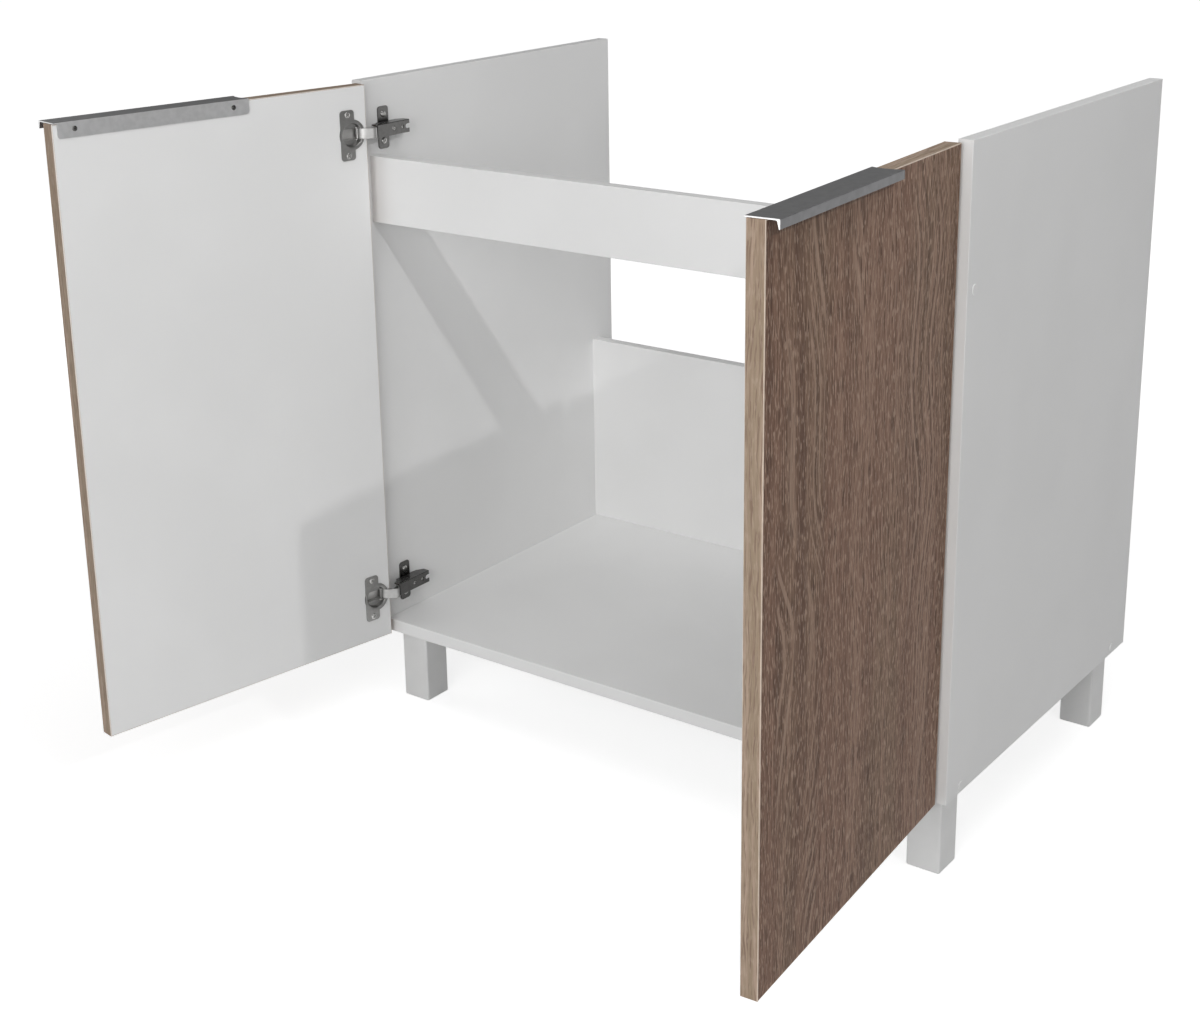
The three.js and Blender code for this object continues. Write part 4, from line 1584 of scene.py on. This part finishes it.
@dataclass
class Door:
    """One door: its board with oak banding, the edge handle and its screws."""

    stand: Stand
    finishes: Finishes
    screws: ScrewBox
    hinge_levels: Sequence[float]
    reveal: float = 2.0
    width: float = 396.0
    bottom: float = 101.0
    top: float = 797.5
    inner_y: float = -2.0
    outer_y: float = -20.0
    band_thickness: float = 1.0
    arris: float = 0.85
    handle_inset: float = 1.0
    handle_length: float = 236.0
    sheet: float = 1.2
    overhang: float = 11.7
    lip: float = 8.5
    flange: float = 17.0
    flange_corner: float = 4.0
    flange_setback: float = 4.5
    screw_spacing: float = 192.0
    screw_drop: float = 8.0
    screw_shift: float = 2.0
    sweep_radius: float = 36.0
    sweep_depth: float = 3.5
    sweep_shift: float = 5.25

    @property
    def handle_end(self) -> float:
        """Where the handle ends, near the door's free edge."""
        return self.reveal + self.width - self.handle_inset

    def board(self) -> None:
        """Adds the door's board: white inside, oak outside, banded all round, with a hole for each cup."""
        low = Vector((self.reveal, self.outer_y, self.bottom))
        high = Vector((self.reveal + self.width, self.inner_y, self.top))
        name = f"{self.stand.side.word}_door"
        board = BandedBoard(name, name, self.stand, low, high, Axis.Y, (*SIDE_BANDS, *LEVEL_BANDS),
                            self.band_thickness, self.arris)
        x, floor = Hinge.cup_x, Hinge.cup_bottom - GAP
        cuts = [Form().rod((x, floor, z), (x, 5, z), Hinge.cup_radius + GAP, sides=64)
                for z in self.hinge_levels]
        level, upright = self.finishes.level_banding, self.finishes.upright_banding
        # The outer arris finish is a painted highlight.
        arrises = [self.finishes.arris, self.finishes.inner_arris]
        board.add(
            Slot.OAK, [self.finishes.melamine, self.finishes.oak],
            lambda band: [level if band.axis is Axis.Z else upright, *arrises], cuts,
            lambda normal, middle: normal.y < -0.9 and middle.y < self.outer_y + 0.1)

    def handle(self) -> Form:
        """Makes the handle: a flange on the inner face, a plate over the top, and a tapered finger lip.

        Returns:
            The handle, with finish 1 on its cut ends, 2 on its flange, a lighter copy of the aluminium as
            painted light, and 3 on its lip's outer face, a darker copy as painted shade.
        """
        top = self.top + GAP + self.sheet
        underside = top - self.sheet
        face = self.inner_y + GAP + self.sheet
        lip_y = self.outer_y - self.overhang
        end = self.handle_end
        start = end - self.handle_length
        profile = [(face, top), (face, underside), (lip_y + 4.2, underside), (lip_y + 3.2, underside - 0.2),
                   (lip_y + 2.6, underside - 0.8), (lip_y + 0.95, top - self.lip)]
        profile += arc((lip_y + 0.45, top - self.lip + 0.45), 0.45, 315, 180, 4)
        profile += arc((lip_y + 0.7, top - 0.7), 0.7, 180, 90, 5)
        lapped = Form().prism(profile, Axis.X, start, end)
        radii = (self.flange_corner, self.flange_corner, 0, 0)
        outline = rounded_rectangle((start, top - self.flange), (end - self.flange_setback, top), radii, 8)
        flange = Form().prism(outline, Axis.Y, face - self.sheet, face).round_edges(0.2, sharper_than=60)
        handle = lapped.join(flange)
        centre = (start - self.sweep_radius + self.sweep_depth,
                  (self.outer_y + self.inner_y) / 2 - self.sweep_shift)
        handle.cut(Form().rod((*centre, underside - 0.1), (*centre, top + 5), self.sweep_radius, sides=192))
        for place in self.screw_places():
            handle.cut(self.screws.kinds["handle"].hole(place, (0, -1, 0)))
        handle.paint(1, lambda normal, middle: abs(normal.x) > 0.75 and middle.y < self.inner_y)
        handle.paint(3, lambda normal, middle: normal.y < -0.6 and middle.y < self.outer_y)
        return handle.paint(2, lambda normal, middle: middle.y > self.inner_y and normal.z < 0.5)

    def screw_places(self) -> list[tuple[float, float, float]]:
        """Places the handle's screws.

        Returns:
            The tops of their heads, the one near the hinges first.
        """
        middle = self.handle_end - self.handle_length / 2 - self.screw_shift
        top = self.inner_y + GAP + self.sheet + self.screws.kinds["handle"].head_height
        height = self.top + GAP + self.sheet - self.screw_drop
        return [(middle + way * self.screw_spacing / 2, top, height) for way in (-1, 1)]

    def add(self) -> None:
        """Adds the whole door."""
        name = f"{self.stand.side.word}_handle"
        self.board()
        # The flange's finish is painted light and the lip's finish is painted shade.
        add_piece(f"{name}_extrusion", self.handle(), self.stand,
                  [self.finishes.aluminium, self.finishes.cut_aluminium, self.finishes.flange_aluminium,
                   self.finishes.lip_aluminium], Slot.ALUMINIUM, [name])
        # The handle's screws take the dark nickel: painted shade for the dark ring round each head.
        for place, end in zip(self.screw_places(), ("hinge", "free")):
            node = f"{name}_{end}_end_screw"
            self.screws.add("handle", f"{node}_threaded", self.stand, place, (0, -1, 0), [node],
                            self.finishes.nickel)


def add_leaf(survey: Survey, side: Side, finishes: Finishes, screws: ScrewBox) -> None:
    """Adds one door with both of its hinges.

    Args:
        survey: the cabinet's measures.
        side: the side that carries the door.
        finishes: the materials.
        screws: the maker of screws.
    """
    opening = side.value * survey.opening(side)
    swing = Vector(survey.joints[f"{side.word}_door_swing"]["pos_m"])
    carcass = Stand(survey, side)
    stands = {
        "carcass": carcass,
        "links": carcass.turned(f"{side.word}_outer_links", Hinge.arm_pivot, -Hinge.outer_ratio * opening),
        "inner": carcass.turned(f"{side.word}_inner_links", Hinge.inner_pivot, -Hinge.inner_ratio * opening),
        "door": carcass.turned(f"{side.word}_door", Hinge.cup_pivot, opening, swing),
    }
    centres = []
    for level in Level:
        low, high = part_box(f"{side.word}_{level.word}_mounting_plate")
        centre = (low.z + high.z) / 2 / MM
        centres.append(centre)
        Hinge(stands, finishes, screws, level, centre).add()
    Door(stands["door"], finishes, screws, centres).add()


# ---- studio ---------------------------------------------------------------------------------


@dataclass(frozen=True)
class Lamp:
    """A soft round lamp.

    Its place is in millimetres from the cabinet's middle, front and floor, its size in metres and its
    power in watts.
    """

    name: str
    place: tuple[float, float, float]
    size: float
    power: float


@dataclass
class Studio:
    """The camera, the pale floor, the white surround and the lamps."""

    survey: Survey
    camera_place: tuple[float, float, float] = (1161.3, -1614.9, 1099.8)
    yaw: float = 36.043
    pitch: float = -16.596
    roll: float = -0.699
    lens: float = 56.469
    sensor: float = 36.0
    shift: Point = (-0.0167, -0.12)
    even_light: float = 0.15
    ceiling: float = 0.12
    horizon: Point = (-0.02, 0.22)
    floor_reach: float = 30000.0
    floor_drop: float = 0.3
    floor_tones: Point = (0.56, 0.54)
    floor_glow: Point = (0.74, 0.93)
    glow_reach: Point = (0.9, 2.4)
    aim: tuple[float, float, float] = (0, 200, 400)
    lamps: Sequence[Lamp] = (
        Lamp("key", (2834, -1215, 2379), 0.06, 20.5),
        Lamp("front", (740, -2780, 1300), 2.0, 47.0),
        Lamp("overhead", (800, -300, 2610), 1.8, 18.0),
        Lamp("left", (-3340, 200, 1740), 2.4, 20.0),
        Lamp("back", (330, 3530, 1730), 2.4, 10.0),
    )

    def row(self, place: Sequence[float]) -> Vector:
        """Takes millimetres from the cabinet's middle, front and floor to the row frame."""
        return Vector(place) * MM + self.survey.zero

    def camera(self) -> None:
        """Adds the camera at the photograph's angle."""
        yaw, pitch, roll = (math.radians(angle) for angle in (self.yaw, self.pitch, self.roll))
        forward = Vector((-math.sin(yaw) * math.cos(pitch), math.cos(yaw) * math.cos(pitch), math.sin(pitch)))
        right = Vector((math.cos(yaw), math.sin(yaw), 0.0))
        up = right.cross(forward)
        right, up = right * math.cos(roll) + up * math.sin(roll), up * math.cos(roll) - right * math.sin(roll)
        data = bpy.data.cameras.new("camera")
        data.lens = self.lens
        data.sensor_width = self.sensor
        data.shift_x, data.shift_y = self.shift
        data.clip_start, data.clip_end = 0.05, 200.0
        camera = bpy.data.objects.new("camera", data)
        turn = Matrix((right, up, -forward)).transposed().to_4x4()
        camera.matrix_world = Matrix.Translation(self.row(self.camera_place)) @ turn
        bpy.context.scene.collection.objects.link(camera)
        bpy.context.scene.camera = camera

    def surround(self) -> None:
        """Makes the world: white to the camera, with a dark ceiling in mirrors, and a low even light."""
        world = bpy.data.worlds.new("surround")
        bpy.context.scene.world = world
        world.use_nodes = True
        graph = Graph(world.node_tree)
        direction = graph.node("ShaderNodeTexCoord", output="Generated")
        height = graph.node("ShaderNodeSeparateXYZ", values={0: direction}, output=2)
        white = (1.0, 1.0, 1.0)
        mirrored = graph.mix(height.between(*self.horizon), white, (self.ceiling,) * 3)
        seen_colour = graph.mix(graph.ray("Is Camera Ray"), mirrored, white)
        light = graph.node("ShaderNodeBackground", values={0: (*white, 1.0), 1: self.even_light})
        seen = graph.node("ShaderNodeBackground", values={0: seen_colour, 1: 1.0})
        both = graph.node("ShaderNodeMixShader", values={0: graph.seen(), 1: light, 2: seen})
        graph.node("ShaderNodeOutputWorld", values={0: both})

    def floor(self) -> None:
        """Adds the pale floor, which is lifted to white where it is seen and keeps a soft shadow."""
        form = Form()
        corners = [(x * self.floor_reach, y * self.floor_reach, -self.floor_drop)
                   for x, y in ((-1, -1), (1, -1), (1, 1), (-1, 1))]
        form.mesh.faces.new([form.mesh.verts.new(corner) for corner in corners])
        floor = bpy.data.objects.new("floor", form.finished("floor", lambda place: place * MM, False))
        bpy.context.scene.collection.objects.link(floor)
        material, graph = Graph.of_material("pale floor")
        pale, duller, near, far = ((tone,) * 3 for tone in (*self.floor_tones, *self.floor_glow))
        cloud = graph.speckle(400.0)
        matt = graph.node("ShaderNodeBsdfDiffuse", values={0: graph.mix(cloud, pale, duller)})
        place = graph.node("ShaderNodeTexCoord", output="Object")
        away = graph.node("ShaderNodeVectorMath", {"operation": "LENGTH"}, {0: place}, output="Value")
        glow = graph.mix(away.between(*self.glow_reach), near, far)
        lifted = graph.node("ShaderNodeEmission", values={0: glow})
        lit = graph.node("ShaderNodeAddShader", values={0: matt, 1: lifted})
        both = graph.node("ShaderNodeMixShader", values={0: graph.seen(), 1: matt, 2: lit})
        graph.node("ShaderNodeOutputMaterial", values={"Surface": both})
        floor.data.materials.append(material)

    def hang(self, lamp: Lamp) -> None:
        """Hangs one lamp, facing the cabinet.

        Args:
            lamp: the lamp.
        """
        data = bpy.data.lights.new(lamp.name, "AREA")
        data.shape = "DISK"
        data.size = lamp.size
        data.energy = lamp.power
        hung = bpy.data.objects.new(lamp.name, data)
        hung.location = self.row(lamp.place)
        hung.rotation_mode = "QUATERNION"
        hung.rotation_quaternion = (self.row(self.aim) - hung.location).to_track_quat("-Z", "Y")
        bpy.context.scene.collection.objects.link(hung)

    def add(self) -> None:
        """Adds the whole studio."""
        bpy.context.scene.view_settings.view_transform = "Standard"
        self.camera()
        self.surround()
        self.floor()
        for lamp in self.lamps:
            self.hang(lamp)


# ---- the whole cabinet ----------------------------------------------------------------------


def main() -> None:
    """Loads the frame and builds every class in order."""
    logging.basicConfig(level=logging.INFO, format="%(name)s: %(message)s")
    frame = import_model()
    survey = Survey.take(frame)
    Studio(survey).add()
    finishes = Finishes()
    screws = ScrewBox(finishes.zinc)
    Carcass(survey, finishes).add()
    for side in Side:
        add_leaf(survey, side, finishes, screws)


if __name__ == "__main__":
    main()
